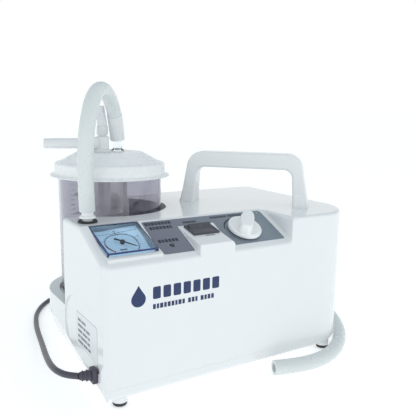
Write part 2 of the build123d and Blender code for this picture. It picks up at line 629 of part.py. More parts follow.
def pump_head():
    """Valve plate, finned head with two ports, and its screws."""
    y0 = PUMP_Y - 25
    y1 = PUMP_Y + 25
    plate = block(CRANK_X0, CRANK_X1, y0, y1, 98, 107) - ring(23, 0, 97, 100, CRANK_MID, PUMP_Y)
    plate -= ring(19, 0, 99, 104.2, CRANK_MID, PUMP_Y)
    for y in (PUMP_Y - 8, PUMP_Y + 8):
        plate -= ring(2, 0, 103, 108, CRANK_MID, y)
    head = block(CRANK_X0, CRANK_X1, y0, y1, 107, 122)
    head -= block(CRANK_X0 + 4, CRANK_X1 - 4, y0 + 6, PUMP_Y - 1.5, 106, 117)
    head -= block(CRANK_X0 + 4, CRANK_X1 - 4, PUMP_Y + 1.5, y1 - 6, 106, 117)
    for i in range(5):
        head -= block(CRANK_X0 - 1, CRANK_X1 + 1, y0 + 6 + 8.4 * i, y0 + 9.4 + 8.4 * i, 119, 123)
    head += Pos(CRANK_MID + 8, y0 - 5, 112) * Rot(90, 0, 0) * (Cylinder(3.4, 10) - Cylinder(1.8, 12))
    head += Pos(CRANK_MID + 8, y1 + 5, 112) * Rot(90, 0, 0) * (Cylinder(3.4, 10) - Cylinder(1.8, 12))
    head -= Pos(CRANK_MID + 8, y0 + 3, 112) * Rot(90, 0, 0) * Cylinder(1.8, 8)
    head -= Pos(CRANK_MID + 8, y1 - 3, 112) * Rot(90, 0, 0) * Cylinder(1.8, 8)
    screws = []
    for x, y in HEAD_SCREWS:
        plate -= ring(1.55, 0, 90, 130, x, y)
        head -= ring(1.55, 0, 90, 130, x, y)
        NODES["crankcase"] -= ring(1.55, 0, 88, 130, x, y)
        screws.append(ring(1.5, 0, 88.5, 122, x, y) + ring(2.6, 0, 122, 124.6, x, y))
    keep("valve_plate", plate)
    keep("pump_head", head)
    keep("head_screws", Compound(children=screws))


# ---------------------------------------------------------------- tubing and wiring
def flat_tube(points, radius, bend):
    """A solid tube along straight runs with equal bends."""
    path = FilletPolyline(*points, radius=bend)
    start = Plane(origin=path @ 0, z_dir=path % 0)
    return sweep(start * Circle(radius), path=path)


def internal_lines():
    """Air lines, exhaust silencer, terminal block, capacitor and wires."""
    port_x = CRANK_MID + 8
    inlet_z = CASE_TOP - 26
    line = [(INLET_X, INLET_Y, inlet_z), (INLET_X, INLET_Y, 94), (-92, -36, 90), (-46, -34, 92)]
    line += [(-4, -26, 106), (port_x, -20, 112), (port_x, PUMP_Y - 35, 112)]
    suction = flat_tube(line, 3.5, 6)
    y = SILENCER_Y
    line = [(port_x, PUMP_Y + 35, 112), (port_x, y - 2, 112), (34, y, 60)]
    line += [(38, y, SILENCER_Z), (58, y, SILENCER_Z)]
    keep("air_lines", Compound(children=[suction, flat_tube(line, 3.5, 6)]))
    body = along_x(11, 58, 108, y, SILENCER_Z) + along_x(9, 107, 110, y, SILENCER_Z)
    keep("exhaust_silencer", body)
    spigot = Pos(EXHAUST_X, HALF_D - 5, EXHAUST_Z) * Rot(90, 0, 0) * Cylinder(5.0, 22)
    spigot += Pos(EXHAUST_X, HALF_D + 1, EXHAUST_Z) * Rot(90, 0, 0) * Cylinder(8.0, 2)
    spigot += Pos(EXHAUST_X, HALF_D + 9, EXHAUST_Z) * Rot(90, 0, 0) * Cylinder(5.0, 14)
    spigot -= Pos(EXHAUST_X, HALF_D + 8, EXHAUST_Z) * Rot(90, 0, 0) * Cylinder(3.4, 18)
    spigot -= along_x(11.02, 50, 112, y, SILENCER_Z)
    keep("exhaust_spigot", spigot.solids().sort_by(Axis.Y)[-1])
    floor = TRAY_BOTTOM + WALL
    terminal = block(-100, -64, -68, -50, floor, 30)
    for i in range(4):
        terminal -= ring(2.4, 0, 24, 31, -95.5 + 9 * i, -63)
        terminal -= ring(2.4, 0, 24, 31, -95.5 + 9 * i, -55)
    keep("terminal_block", terminal)
    keep("run_capacitor", along_x(14, -40, 12, -76, floor + 14.0))
    wire = [(-100, -63, 22), (-108, -63, 22), (-113, -66, 32), (-98, -62, 66)]
    wire += [(-62, -66, 88), (-38, -70, 104)]
    keep("switch_wires", flat_tube(wire, 2.2, 4))


def rating_plate():
    """The thin plate in the left side's recess."""
    plate = Pos(-HALF_W + 1.0, -56, 53) * Rot(0, -90, 0) * extrude(RectangleRounded(31, 50, 2), 0.3)
    keep("rating_plate", plate)


# ---------------------------------------------------------------- cord and hoses
def smooth_tube(points, radius, name):
    """A free cord's tube: each bend is as large as its two runs allow."""
    vectors = [Vector(*p) for p in points]
    radii = []
    for a, b, c in zip(vectors, vectors[1:], vectors[2:]):
        turn = math.radians((b - a).get_angle(c - b))
        radii.append(0.45 * min((b - a).length, (c - b).length) / math.tan(turn / 2))
    path = FilletPolyline(*points, radius=radii)
    start = Plane(origin=path @ 0, z_dir=path % 0)
    tube = sweep(start * Circle(radius), path=path)
    print(name, "length", round(path.length, 1), "radii", [round(r) for r in radii])
    print("   volume ratio", round(tube.volume / (math.pi * radius**2 * path.length), 4))
    return tube


def coil(r_mid, across, high, at, floor=0.0):
    """The outer shape of a flat coil lying on the floor."""
    return ring(r_mid + across / 2, r_mid - across / 2, floor, floor + high, *at)


def mains_lead():
    """Strain relief, cord, its tied coil, and the plug."""
    x, y, z = CORD_EXIT
    boot = along_x(5.0, x, x + 10, y, z)
    boot += block(x - 4.5, x, y - 5, y + 5, z - 6.5, z + 6.5)
    neck = Plane(origin=(x - 4, y, z), z_dir=NECK_DIR)
    boot += neck * Pos(0, 0, 5) * Cone(4.8, 3.6, 10)
    for along in (3.5, 7.5):
        boot += neck * Pos(0, 0, along) * Cylinder(5.2, 1.8)
    keep("cord_bushing", boot)
    points = [(-152, -73.1, 27), (-159, -65.5, 26), (-163.5, -53, 25), (-164, -37, 23), (-161, -14, 19.5)]
    points += [(-156, 13, 15.5), (-150, 43, 11.5), (-144, 77, 8), (-137, 111, 5), (-127.5, 145, 3.4)]
    points += [(-113, 173, 2.8), (-92, 195.5, 2.8), (-68.5, 212, 2.8), (-46.8, 224.6, 2.8)]
    cord = smooth_tube(points, CORD_D / 2, "power_cord")
    cx, cy = CORD_COIL_AT
    width = 3 * CORD_D
    keep("power_cord_coil", coil(CORD_COIL_R, width, width, CORD_COIL_AT))
    tie_x = cx - CORD_COIL_R
    tie = block(tie_x - width / 2 - 1.2, tie_x + width / 2 + 1.2, cy - 3, cy + 3, 0, width + 1.2)
    tie -= block(tie_x - width / 2 - 0.1, tie_x + width / 2 + 0.1, cy - 4, cy + 4, -1, width + 0.1)
    keep("cord_tie", tie)
    plug_x = cx + 56
    plug_y = cy + 26
    tail = [(cx + 9, cy + 33.6, 13.3), (cx + 26, cy + 29.2, 12.3), (plug_x - 14, plug_y, PLUG_Z)]
    keep("power_cord", Compound(children=[cord, smooth_tube(tail, CORD_D / 2, "plug_tail")]))
    plug = Pos(plug_x, plug_y, PLUG_Z) * Box(28, 2 * PLUG_Z, 2 * PLUG_Z)
    plug = fillet(plug.edges().filter_by(Axis.X), 4)
    for dy in (-6, 6):
        plug += block(plug_x + 14, plug_x + 32, plug_y + dy - 3, plug_y + dy + 3, PLUG_Z - 0.7, PLUG_Z + 0.7)
    keep("power_plug", plug)


def suction_hose():
    """The long hose: from the rear spigot, through its coil, and forward along the right side."""
    points = [(24, -110, 7), (42, -116, 7), (68, -119.5, 7), (95, -113.5, 7), (120, -98.5, 7)]
    points += [(143, -76.5, 7), (163, -49, 7), (179, -17, 7), (191, 20, 7), (201, 60, 7)]
    points += [(212, 100, 7), (221, 136, 7), (226, 168, 7)]
    front = smooth_tube(points, HOSE_D / 2, "suction_hose")
    points = [(EXHAUST_X, HALF_D + 16, EXHAUST_Z), (99, 128, 34), (95, 142, 29), (88, 155, 22)]
    rear = smooth_tube(points, HOSE_D / 2, "hose_rear")
    keep("suction_hose", Compound(children=[front, rear]))
    keep("suction_hose_coil", coil(HOSE_COIL_R, HOSE_D, 2 * HOSE_D, HOSE_COIL_AT))


def jar_hose():
    """The short hose that loops from the inlet connector over to the lid's nozzle."""
    x0, y0 = INLET_X, INLET_Y
    x1, y1 = NOZZLE_AT
    span = math.hypot(x1 - x0, y1 - y0)
    side = [(0, CASE_TOP + 10), (-2.5, 178), (-3, 204), (3, 232), (20, 256), (45, 264), (70, 253), (85, 233)]
    side += [(span, LID_TOP_Z + 12)]
    points = [(x0 + (x1 - x0) * s / span, y0 + (y1 - y0) * s / span, z) for s, z in side]
    keep("jar_hose", smooth_tube(points, HOSE_D / 2, "jar_hose"))


def main():
    """Builds every piece and writes one file for each."""
    for make in (upper_housing, base_tray, feet, case_screws, handle, handle_screws, console_overlay,
                 power_lamp, gauge, switch, regulator, jar, lid, ports, float_valve, inlet, pump_frame,
                 motor, crank, pump_head, internal_lines, rating_plate, mains_lead, suction_hose, jar_hose):
        make()
        print("made", make.__name__)
    os.makedirs("parts", exist_ok=True)
    for name, shape in NODES.items():
        export_step(shape, f"parts/{name}.step")


main()
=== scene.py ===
"""The portable suction pump's finished look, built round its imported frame. Lengths are metres."""
import json
import math

import bmesh
import bpy
from mathutils import Matrix, Vector


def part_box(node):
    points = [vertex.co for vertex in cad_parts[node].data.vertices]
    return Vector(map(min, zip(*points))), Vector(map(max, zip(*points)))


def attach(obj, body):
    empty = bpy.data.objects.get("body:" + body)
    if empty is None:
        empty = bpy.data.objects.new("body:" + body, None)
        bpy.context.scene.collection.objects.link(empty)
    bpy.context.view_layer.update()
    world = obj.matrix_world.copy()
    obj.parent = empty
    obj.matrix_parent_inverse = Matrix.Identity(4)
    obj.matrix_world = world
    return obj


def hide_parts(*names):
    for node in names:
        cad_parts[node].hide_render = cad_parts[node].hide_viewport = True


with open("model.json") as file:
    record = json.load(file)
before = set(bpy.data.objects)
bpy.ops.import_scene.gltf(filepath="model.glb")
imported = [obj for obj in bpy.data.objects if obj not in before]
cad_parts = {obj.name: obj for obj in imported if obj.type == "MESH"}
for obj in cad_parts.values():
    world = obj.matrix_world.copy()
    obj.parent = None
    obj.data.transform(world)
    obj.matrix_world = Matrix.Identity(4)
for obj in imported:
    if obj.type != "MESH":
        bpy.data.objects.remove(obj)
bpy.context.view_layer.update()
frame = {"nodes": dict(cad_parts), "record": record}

NODES = frame["nodes"]
JOINTS = {joint["name"]: joint for joint in frame["record"]["behaviour"]["joints"]}
MM = 0.001

# camera
CAMERA_AT = (-0.2976, -0.4949, 0.2480)
CAMERA_YAW = 32.45
CAMERA_PITCH = 10.19
CAMERA_ROLL = -1.06
LENS = 48.9

# console
SLOPE = math.atan2(24.2, 51.7)
SHEET_MID_V = 2.55 * MM     # the overlay's middle, above the middle of the slope
SHEET_HALF = 0.25 * MM
SWITCH_TILT = math.radians(12.4)
ROCKER_REST = math.radians(12)
KNOB_TURN = math.radians(52)
PRINT_T = 0.06 * MM

# cord and hoses
CORD_D = 5.6 * MM
HOSE_D = 14 * MM
HOSE_BORE = 8.6 * MM

# the port's side pipe and the soft stem on its cap, in degrees
PORT_TURN = 168.0
CAP_STEM_TURN = 141.4
CAP_STEM_LEAN = 6.0


# ---------------------------------------------------------------- small tools
def mid(node):
    """Middle of a CAD node's box."""
    low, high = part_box(node)
    return (low + high) / 2


def tilted(at, tilt, turn=0.0):
    """A frame at a point, its Z leaning to the front by tilt, its X turned by turn about that Z."""
    return Matrix.Translation(at) @ Matrix.Rotation(tilt, 4, "X") @ Matrix.Rotation(turn, 4, "Z")


def joint_tilt(joint):
    """How far a joint's axis leans to the front."""
    return math.atan2(-joint["axis"][1], joint["axis"][2])


def smooth(value):
    """Smooth step from 0 to 1."""
    value = max(0.0, min(1.0, value))
    return value * value * (3 - 2 * value)


def soften(points, radius, steps=4, closed=True):
    """An outline with each corner rounded by an arc-like curve of the given reach."""
    out = []
    count = len(points)
    for i, corner in enumerate(points):
        here = Vector(corner)
        if not closed and i in (0, count - 1):
            out.append(here)
            continue
        before = Vector(points[i - 1]) - here
        after = Vector(points[(i + 1) % count]) - here
        reach = min(radius, 0.45 * before.length, 0.45 * after.length)
        start = here + before.normalized() * reach
        end = here + after.normalized() * reach
        for k in range(steps + 1):
            t = k / steps
            out.append(start * (1 - t) ** 2 + here * 2 * t * (1 - t) + end * t**2)
    return out


def turned(profile):
    """A flat outline in millimetres as metres."""
    return [(x * MM, y * MM) for x, y in profile]


def finish_mesh(name, bm, material, body, at=None, angle=35):
    """Turns a bmesh into a piece with smooth shading, its material and its body."""
    bmesh.ops.recalc_face_normals(bm, faces=bm.faces)
    mesh = bpy.data.meshes.new(name)
    if at is not None:
        bm.transform(at)
    bm.to_mesh(mesh)
    bm.free()
    mesh.shade_smooth()
    mesh.set_sharp_from_angle(angle=math.radians(angle))
    piece = bpy.data.objects.new(name, mesh)
    bpy.context.scene.collection.objects.link(piece)
    piece.data.materials.append(material)
    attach(piece, body)
    return piece


def lathe(name, profile, material, body, at, segments=96, soft=0.4 * MM):
    """A turned piece from a closed (radius, height) outline about its own Z."""
    outline = [Vector((max(p[0], 0.0), p[1])) for p in soften(profile, soft)]
    bm = bmesh.new()
    rings = []
    for point in outline:
        if point.x < 1e-6:
            rings.append([bm.verts.new((0, 0, point.y))] * segments)
            continue
        ring = []
        for k in range(segments):
            angle = math.tau * k / segments
            ring.append(bm.verts.new((point.x * math.cos(angle), point.x * math.sin(angle), point.y)))
        rings.append(ring)
    for a, b in zip(rings, rings[1:] + rings[:1]):
        for k in range(segments):
            n = (k + 1) % segments
            corners = list(dict.fromkeys((a[k], a[n], b[n], b[k])))
            if len(corners) > 2:
                bm.faces.new(corners)
    return finish_mesh(name, bm, material, body, at)


def add_prism(bm, outline, low, high, place):
    """Adds a closed prism to a bmesh: a flat outline raised from low to high, set in a place."""
    bottom = [bm.verts.new(place @ Vector((p[0], p[1], low))) for p in outline]
    top = [bm.verts.new(place @ Vector((p[0], p[1], high))) for p in outline]
    bm.faces.new(list(reversed(bottom)))
    bm.faces.new(top)
    count = len(outline)
    for k in range(count):
        n = (k + 1) % count
        bm.faces.new((bottom[k], bottom[n], top[n], top[k]))


def bar(x0, x1, y0, y1):
    """A rectangle's corners."""
    return [(x0, y0), (x1, y0), (x1, y1), (x0, y1)]


def arc_band(r_in, r_out, start, end, steps=48, taper=1.0):
    """A flat arc band's outline in degrees; taper is the width left at its start."""
    outer = []
    inner = []
    for k in range(steps + 1):
        share = k / steps
        angle = math.radians(start + (end - start) * share)
        half = (r_out - r_in) / 2 * (taper + (1 - taper) * share)
        middle = (r_in + r_out) / 2
        outer.append(((middle + half) * math.cos(angle), (middle + half) * math.sin(angle)))
        inner.append(((middle - half) * math.cos(angle), (middle - half) * math.sin(angle)))
    return outer + inner[::-1]


def full_ring(bm, r_in, r_out, low, high, place, segments=48):
    """Adds a closed flat ring to a bmesh."""
    loops = []
    for radius, z in ((r_in, low), (r_out, low), (r_out, high), (r_in, high)):
        loop = []
        for k in range(segments):
            angle = math.tau * k / segments
            loop.append(bm.verts.new(place @ Vector((radius * math.cos(angle), radius * math.sin(angle), z))))
        loops.append(loop)
    for a, b in zip(loops, loops[1:] + loops[:1]):
        for k in range(segments):
            n = (k + 1) % segments
            bm.faces.new((a[k], a[n], b[n], b[k]))


def greek_line(bm, x, y, height, words, place, low, high):
    """Adds a line of stand-in print: small blocks the size of letters, grouped into words."""
    widths = (0.62, 0.5, 0.7, 0.56, 0.66)
    step = 0
    for letters in words:
        for _ in range(letters):
            width = widths[step % len(widths)] * height
            add_prism(bm, bar(x, x + width, y, y + height), low, high, place)
            x += width + 0.22 * height
            step += 1
        x += 0.55 * height


# ---------------------------------------------------------------- materials
def material(name, colour, rough, spread=0.05, grain=900, bump=0.02, tint=0.04, edge=0.0,
             softness=0.5 * MM, **fixed):
    """A procedural material: mottled colour, uneven roughness, fine bump and softened, rubbed edges."""
    made = bpy.data.materials.new(name)
    made.use_nodes = True
    tree = made.node_tree
    shader = tree.nodes["Principled BSDF"]
    for key, value in fixed.items():
        shader.inputs[key.replace("_", " ")].default_value = value
    where = tree.nodes.new("ShaderNodeTexCoord")

    def noise(scale, detail):
        node = tree.nodes.new("ShaderNodeTexNoise")
        node.inputs["Scale"].default_value = scale
        node.inputs["Detail"].default_value = detail
        tree.links.new(where.outputs["Object"], node.inputs["Vector"])
        return node.outputs["Fac"]

    mottle = tree.nodes.new("ShaderNodeMix")
    mottle.data_type = "RGBA"
    mottle.inputs["A"].default_value = (*[c * (1 - tint) for c in colour], 1)
    mottle.inputs["B"].default_value = (*[min(1, c * (1 + tint)) for c in colour], 1)
    tree.links.new(noise(35, 3), mottle.inputs["Factor"])
    base = mottle.outputs["Result"]
    rounded = tree.nodes.new("ShaderNodeBevel")
    rounded.samples = 4
    rounded.inputs["Radius"].default_value = softness
    if edge:
        flat = tree.nodes.new("ShaderNodeNewGeometry")
        facing = tree.nodes.new("ShaderNodeVectorMath")
        facing.operation = "DOT_PRODUCT"
        tree.links.new(flat.outputs["Normal"], facing.inputs[0])
        tree.links.new(rounded.outputs["Normal"], facing.inputs[1])
        worn = tree.nodes.new("ShaderNodeMapRange")
        worn.inputs["From Min"].default_value = 1.0
        worn.inputs["From Max"].default_value = 0.8
        tree.links.new(facing.outputs["Value"], worn.inputs["Value"])
        rub = tree.nodes.new("ShaderNodeMix")
        rub.data_type = "RGBA"
        rub.inputs["B"].default_value = (*[max(0, min(1, c + edge)) for c in colour], 1)
        tree.links.new(worn.outputs["Result"], rub.inputs["Factor"])
        tree.links.new(base, rub.inputs["A"])
        base = rub.outputs["Result"]
    tree.links.new(base, shader.inputs["Base Color"])
    uneven = tree.nodes.new("ShaderNodeMapRange")
    uneven.inputs["To Min"].default_value = max(0.01, rough - spread)
    uneven.inputs["To Max"].default_value = rough + spread
    tree.links.new(noise(120, 4), uneven.inputs["Value"])
    tree.links.new(uneven.outputs["Result"], shader.inputs["Roughness"])
    relief = tree.nodes.new("ShaderNodeBump")
    relief.inputs["Strength"].default_value = bump
    relief.inputs["Distance"].default_value = 0.3 * MM
    tree.links.new(noise(grain, 2), relief.inputs["Height"])
    tree.links.new(rounded.outputs["Normal"], relief.inputs["Normal"])
    tree.links.new(relief.outputs["Normal"], shader.inputs["Normal"])
    return made


def clear(name, colour, rough, ior=1.45, bump=0.01, grain=300, tint=0.02, **fixed):
    """A see-through material with faint flow marks."""
    spread = 0.4 * rough
    return material(name, colour, rough, spread, grain, bump, tint, Transmission_Weight=1.0, IOR=ior, **fixed)


def graded(made, axis, start, end, first, last):
    """Gives a material a slow change of colour along one axis, in place of its plain colour."""
    tree = made.node_tree
    mottle = next(n for n in tree.nodes if n.type == "MIX")
    where = next(n for n in tree.nodes if n.type == "TEX_COORD")
    split = tree.nodes.new("ShaderNodeSeparateXYZ")
    share = tree.nodes.new("ShaderNodeMapRange")
    share.inputs["From Min"].default_value = start
    share.inputs["From Max"].default_value = end
    blend = tree.nodes.new("ShaderNodeMix")
    blend.data_type = "RGBA"
    blend.inputs["A"].default_value = (*first, 1)
    blend.inputs["B"].default_value = (*last, 1)
    tree.links.new(where.outputs["Object"], split.inputs["Vector"])
    tree.links.new(split.outputs[axis], share.inputs["Value"])
    tree.links.new(share.outputs["Result"], blend.inputs["Factor"])
    tree.links.new(blend.outputs["Result"], mottle.inputs["B"])
    tree.links.new(blend.outputs["Result"], mottle.inputs["A"])


CASE = material("case_white", (0.86, 0.875, 0.885), 0.16, 0.05, 1400, 0.012, 0.008, 0.03,
                Coat_Weight=0.35, Coat_Roughness=0.06)
HANDLE = material("handle_white", (0.86, 0.87, 0.88), 0.2, 0.05, 1400, 0.015, 0.01, 0.03,
                  Coat_Weight=0.3, Coat_Roughness=0.08)
KNOB = material("knob_white", (0.93, 0.935, 0.94), 0.22, 0.05, 1200, 0.02, 0.01, 0.02,
                Coat_Weight=0.4, Coat_Roughness=0.1)
FOOT = material("foot_rubber", (0.035, 0.035, 0.04), 0.6, 0.1, 700, 0.15, 0.15)
RUBBER = material("black_rubber", (0.018, 0.017, 0.02), 0.42, 0.1, 700, 0.1, 0.15)
OVERLAY = material("overlay_grey", (0.19, 0.21, 0.27), 0.2, 0.05, 1500, 0.03, 0.02, 0.05,
                   Coat_Weight=0.5, Coat_Roughness=0.12)
INK = material("ink_dark", (0.012, 0.014, 0.035), 0.35, 0.08, 900, 0.05, 0.1)
NAVY_INK = material("ink_navy", (0.015, 0.035, 0.12), 0.3, 0.08, 900, 0.04, 0.08)
GREY_INK = material("ink_grey", (0.16, 0.16, 0.18), 0.4, 0.08, 900, 0.04, 0.08)
RED_INK = material("ink_red", (0.45, 0.02, 0.03), 0.35, 0.08, 900, 0.04, 0.08)
LAMP = material("lamp_dark", (0.02, 0.022, 0.035), 0.1, 0.03, 600, 0.02, 0.05, Coat_Weight=0.6)
SWITCH = material("switch_charcoal", (0.075, 0.074, 0.088), 0.38, 0.08, 2200, 0.06, 0.06, 0.03)
# the dial face is light blue and also glows a little: painted light, as the dial is no lamp
DIAL_PAINTED_GLOW = material("dial_blue_painted_glow", (0.66, 0.86, 1.0), 0.4, 0.05, 900, 0.02, 0.015,
                Emission_Color=(0.5, 0.68, 0.88, 1), Emission_Strength=0.4)
WINDOW = clear("window_blue", (0.84, 0.93, 1.0), 0.03)
WINDOW_EDGE = material("window_edge", (0.006, 0.02, 0.17), 0.08, 0.03, 500, 0.02, 0.1, Coat_Weight=0.8)
BLACK = material("black_enamel", (0.012, 0.012, 0.02), 0.3, 0.08, 900, 0.03, 0.1)
SMOKED = clear("jar_smoke", (0.575, 0.565, 0.615), 0.04, 1.49, 0.012, 90)
LID = material("lid_white", (0.9, 0.91, 0.915), 0.28, 0.06, 900, 0.0, 0.015, 0.03)
PORT = material("port_milky", (0.93, 0.94, 0.95), 0.25, 0.06, 900, 0.015, 0.015, 0.02,
                Transmission_Weight=0.15, IOR=1.45)
SOFT_CLEAR = material("soft_clear", (0.88, 0.91, 0.92), 0.3, 0.08, 700, 0.015, 0.02, 0.0,
                      Transmission_Weight=0.25, IOR=1.4)
NOZZLE = clear("nozzle_clear", (0.95, 0.97, 0.98), 0.05)
HOSE = material("hose_milky", (0.83, 0.87, 0.865), 0.26, 0.07, 500, 0.01, 0.02, 0.0, 0.0,
                Transmission_Weight=0.12, IOR=1.36)
SEAL = material("seal_rubber", (0.6, 0.6, 0.59), 0.5, 0.1, 700, 0.08, 0.05)
BALL = material("float_satin", (0.9, 0.9, 0.91), 0.35, 0.08, 900, 0.03, 0.02)
# the float cage glows faintly: painted light standing in for the light the smoked jar keeps from it
CAGE_PAINTED_GLOW = material("cage_white_painted_glow", (0.95, 0.95, 0.96), 0.3, 0.06, 900, 0.015, 0.015, 0.02,
                Emission_Color=(1, 1, 1, 1), Emission_Strength=0.12)
CORD = material("cord_pvc", (0.068, 0.062, 0.088), 0.34, 0.07, 800, 0.06, 0.08)
TIE = material("tie_nylon", (0.03, 0.03, 0.034), 0.4, 0.08, 1200, 0.05, 0.1)
PLATE = material("plate_film", (0.82, 0.83, 0.85), 0.3, 0.05, 1500, 0.02, 0.01)
STEEL = material("zinc_steel", (0.55, 0.56, 0.57), 0.3, 0.1, 1600, 0.1, 0.08, 0.1, Metallic=1.0)
CAN = material("drawn_steel", (0.5, 0.5, 0.52), 0.35, 0.1, 1600, 0.1, 0.08, 0.1, Metallic=1.0)
BRASS = material("turned_brass", (0.62, 0.43, 0.16), 0.28, 0.08, 1500, 0.08, 0.06, 0.08, Metallic=1.0)
LAMINATION = material("laminations", (0.22, 0.22, 0.235), 0.45, 0.1, 2500, 0.2, 0.15, 0.05, Metallic=1.0)
COPPER = material("copper_wire", (0.42, 0.14, 0.05), 0.35, 0.1, 1800, 0.3, 0.2, 0.05, Metallic=0.8)
ALLOY = material("cast_alloy", (0.52, 0.53, 0.54), 0.5, 0.1, 900, 0.25, 0.06, 0.1, Metallic=1.0)
GROUND = material("ground_steel", (0.62, 0.62, 0.64), 0.15, 0.05, 2500, 0.05, 0.03, 0.05, Metallic=1.0)
FAN = material("fan_black", (0.03, 0.03, 0.033), 0.5, 0.1, 900, 0.1, 0.1, 0.02)
TERMINAL = material("terminal_cream", (0.68, 0.66, 0.58), 0.45, 0.08, 900, 0.05, 0.05, 0.03)
WIRE = material("wire_sleeve", (0.05, 0.05, 0.06), 0.45, 0.1, 1500, 0.2, 0.1)
graded(OVERLAY, "X", -0.085, 0.047, (0.155, 0.16, 0.215), (0.20, 0.255, 0.30))


# ---------------------------------------------------------------- camera
def make_camera():
    """The camera at the reference view."""
    yaw, pitch, roll = (math.radians(a) for a in (CAMERA_YAW, CAMERA_PITCH, CAMERA_ROLL))
    ahead = Vector((math.sin(yaw) * math.cos(pitch), math.cos(yaw) * math.cos(pitch), -math.sin(pitch)))
    right = Vector((math.cos(yaw), -math.sin(yaw), 0))
    down = ahead.cross(right)
    across = right * math.cos(roll) + down * math.sin(roll)
    below = down * math.cos(roll) - right * math.sin(roll)
    data = bpy.data.cameras.new("camera")
    data.lens = LENS
    data.sensor_width = 36.0
    data.clip_start = 0.01
    camera = bpy.data.objects.new("camera", data)
    turn = Matrix((across, -below, -ahead)).transposed().to_4x4()
    camera.matrix_world = Matrix.Translation(CAMERA_AT) @ turn
    bpy.context.scene.collection.objects.link(camera)
    bpy.context.scene.camera = camera


make_camera()


# ---------------------------------------------------------------- cord and hoses
def nurbs(name, points):
    """A curve object of one open spline with these control points."""
    data = bpy.data.curves.new(name, "CURVE")
    data.dimensions = "3D"
    spline = data.splines.new("NURBS")
    spline.points.add(len(points) - 1)
    for target, point in zip(spline.points, points):
        target.co = (*point, 1)
    spline.order_u = 3
    spline.use_endpoint_u = True
    spline.resolution_u = 8
    curve = bpy.data.objects.new(name, data)
    bpy.context.scene.collection.objects.link(curve)
    return curve


def line_of(points):
    """The smooth line that a route's spline follows, as a list of points."""
    curve = nurbs("route", points)
    mesh = bpy.data.meshes.new_from_object(curve)
    line = [v.co.copy() for v in mesh.vertices]
    bpy.data.meshes.remove(mesh)
    bpy.data.objects.remove(curve)
    return line


def length_of(line):
    """Length of a line of points."""
    return sum((b - a).length for a, b in zip(line, line[1:]))


def sweep_rings(bm, line, radius, sides=28):
    """Adds a ring of vertices round each point of a line, without twist, and returns the rings."""
    rings = []
    side = None
    for i, point in enumerate(line):
        ahead = (line[min(i + 1, len(line) - 1)] - line[max(i - 1, 0)]).normalized()
        if side is None:
            side = ahead.orthogonal().normalized()
        side = (side - ahead * side.dot(ahead)).normalized()
        up = ahead.cross(side)
        ring = []
        for k in range(sides):
            angle = math.tau * k / sides
            ring.append(bm.verts.new(point + (side * math.cos(angle) + up * math.sin(angle)) * radius(i)))
        rings.append(ring)
    return rings


def skin(bm, rings, closed=False):
    """Joins neighbouring rings with faces."""
    pairs = list(zip(rings, rings[1:]))
    if closed:
        pairs.append((rings[-1], rings[0]))
    for a, b in pairs:
        for k in range(len(a)):
            n = (k + 1) % len(a)
            bm.faces.new((a[k], a[n], b[n], b[k]))


def hose_tube(name, line, body):
    """A thick-walled soft tube with an open bore along a line."""
    bm = bmesh.new()
    outer = sweep_rings(bm, line, lambda i: HOSE_D / 2)
    inner = sweep_rings(bm, line, lambda i: HOSE_BORE / 2)
    skin(bm, outer + inner[::-1], closed=True)
    return finish_mesh(name, bm, HOSE, body, angle=60)


def coil_turns(centre, start, turns, place, per_turn=16):
    """Control points of a clockwise coil; place gives (radius, height) from the turns done so far."""
    reach = 1 / math.cos(math.pi / per_turn)
    points = []
    for i in range(round(turns * per_turn) + 1):
        done = i / per_turn
        angle = math.radians(start) - math.tau * done
        radius, height = place(done)
        x = centre[0] + reach * radius * math.cos(angle)
        y = centre[1] + reach * radius * math.sin(angle)
        points.append((x, y, height))
    return points


CORD_ROUTE = [(-0.152, -0.0731, 0.027), (-0.159, -0.0655, 0.026), (-0.1635, -0.053, 0.025),
              (-0.164, -0.037, 0.023), (-0.161, -0.014, 0.0195), (-0.156, 0.013, 0.0155),
              (-0.150, 0.043, 0.0115), (-0.144, 0.077, 0.008), (-0.137, 0.111, 0.005),
              (-0.1275, 0.145, 0.0034), (-0.113, 0.173, 0.0028), (-0.092, 0.1955, 0.0028),
              (-0.0685, 0.212, 0.0028), (-0.0468, 0.2246, 0.0028)]
CORD_TAIL = [(-0.019, 0.2256, 0.0133), (-0.002, 0.2212, 0.0123), (0.014, 0.218, 0.0105)]
CASE_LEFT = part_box("upper_housing")[0].x
CORD_COIL_AT = (-0.028, 0.192)
CORD_COIL_R = 0.032
# each turn's place in the bundle, in cord diameters: across from its middle, and up from its lowest layer
CORD_LANES = [(1, 0), (0, 0), (-1, 0), (-1, 1), (0, 1), (1, 1), (0.5, 1.87), (0.5, 1.87)]


def cord_lane(done):
    """Where the wound cord lies after so many turns; it changes lane over the last part of each turn."""
    turn = min(int(done + 1e-9), len(CORD_LANES) - 1)
    here = CORD_LANES[turn]
    there = CORD_LANES[min(turn + 1, len(CORD_LANES) - 1)]
    share = smooth((done - turn - 0.78) / 0.22)
    loose = 0.05 * math.sin(2.3 * done + 0.7 * turn)
    across = here[0] + (there[0] - here[0]) * share + loose
    up = here[1] + (there[1] - here[1]) * share
    return CORD_COIL_R + across * CORD_D, CORD_D / 2 + up * CORD_D


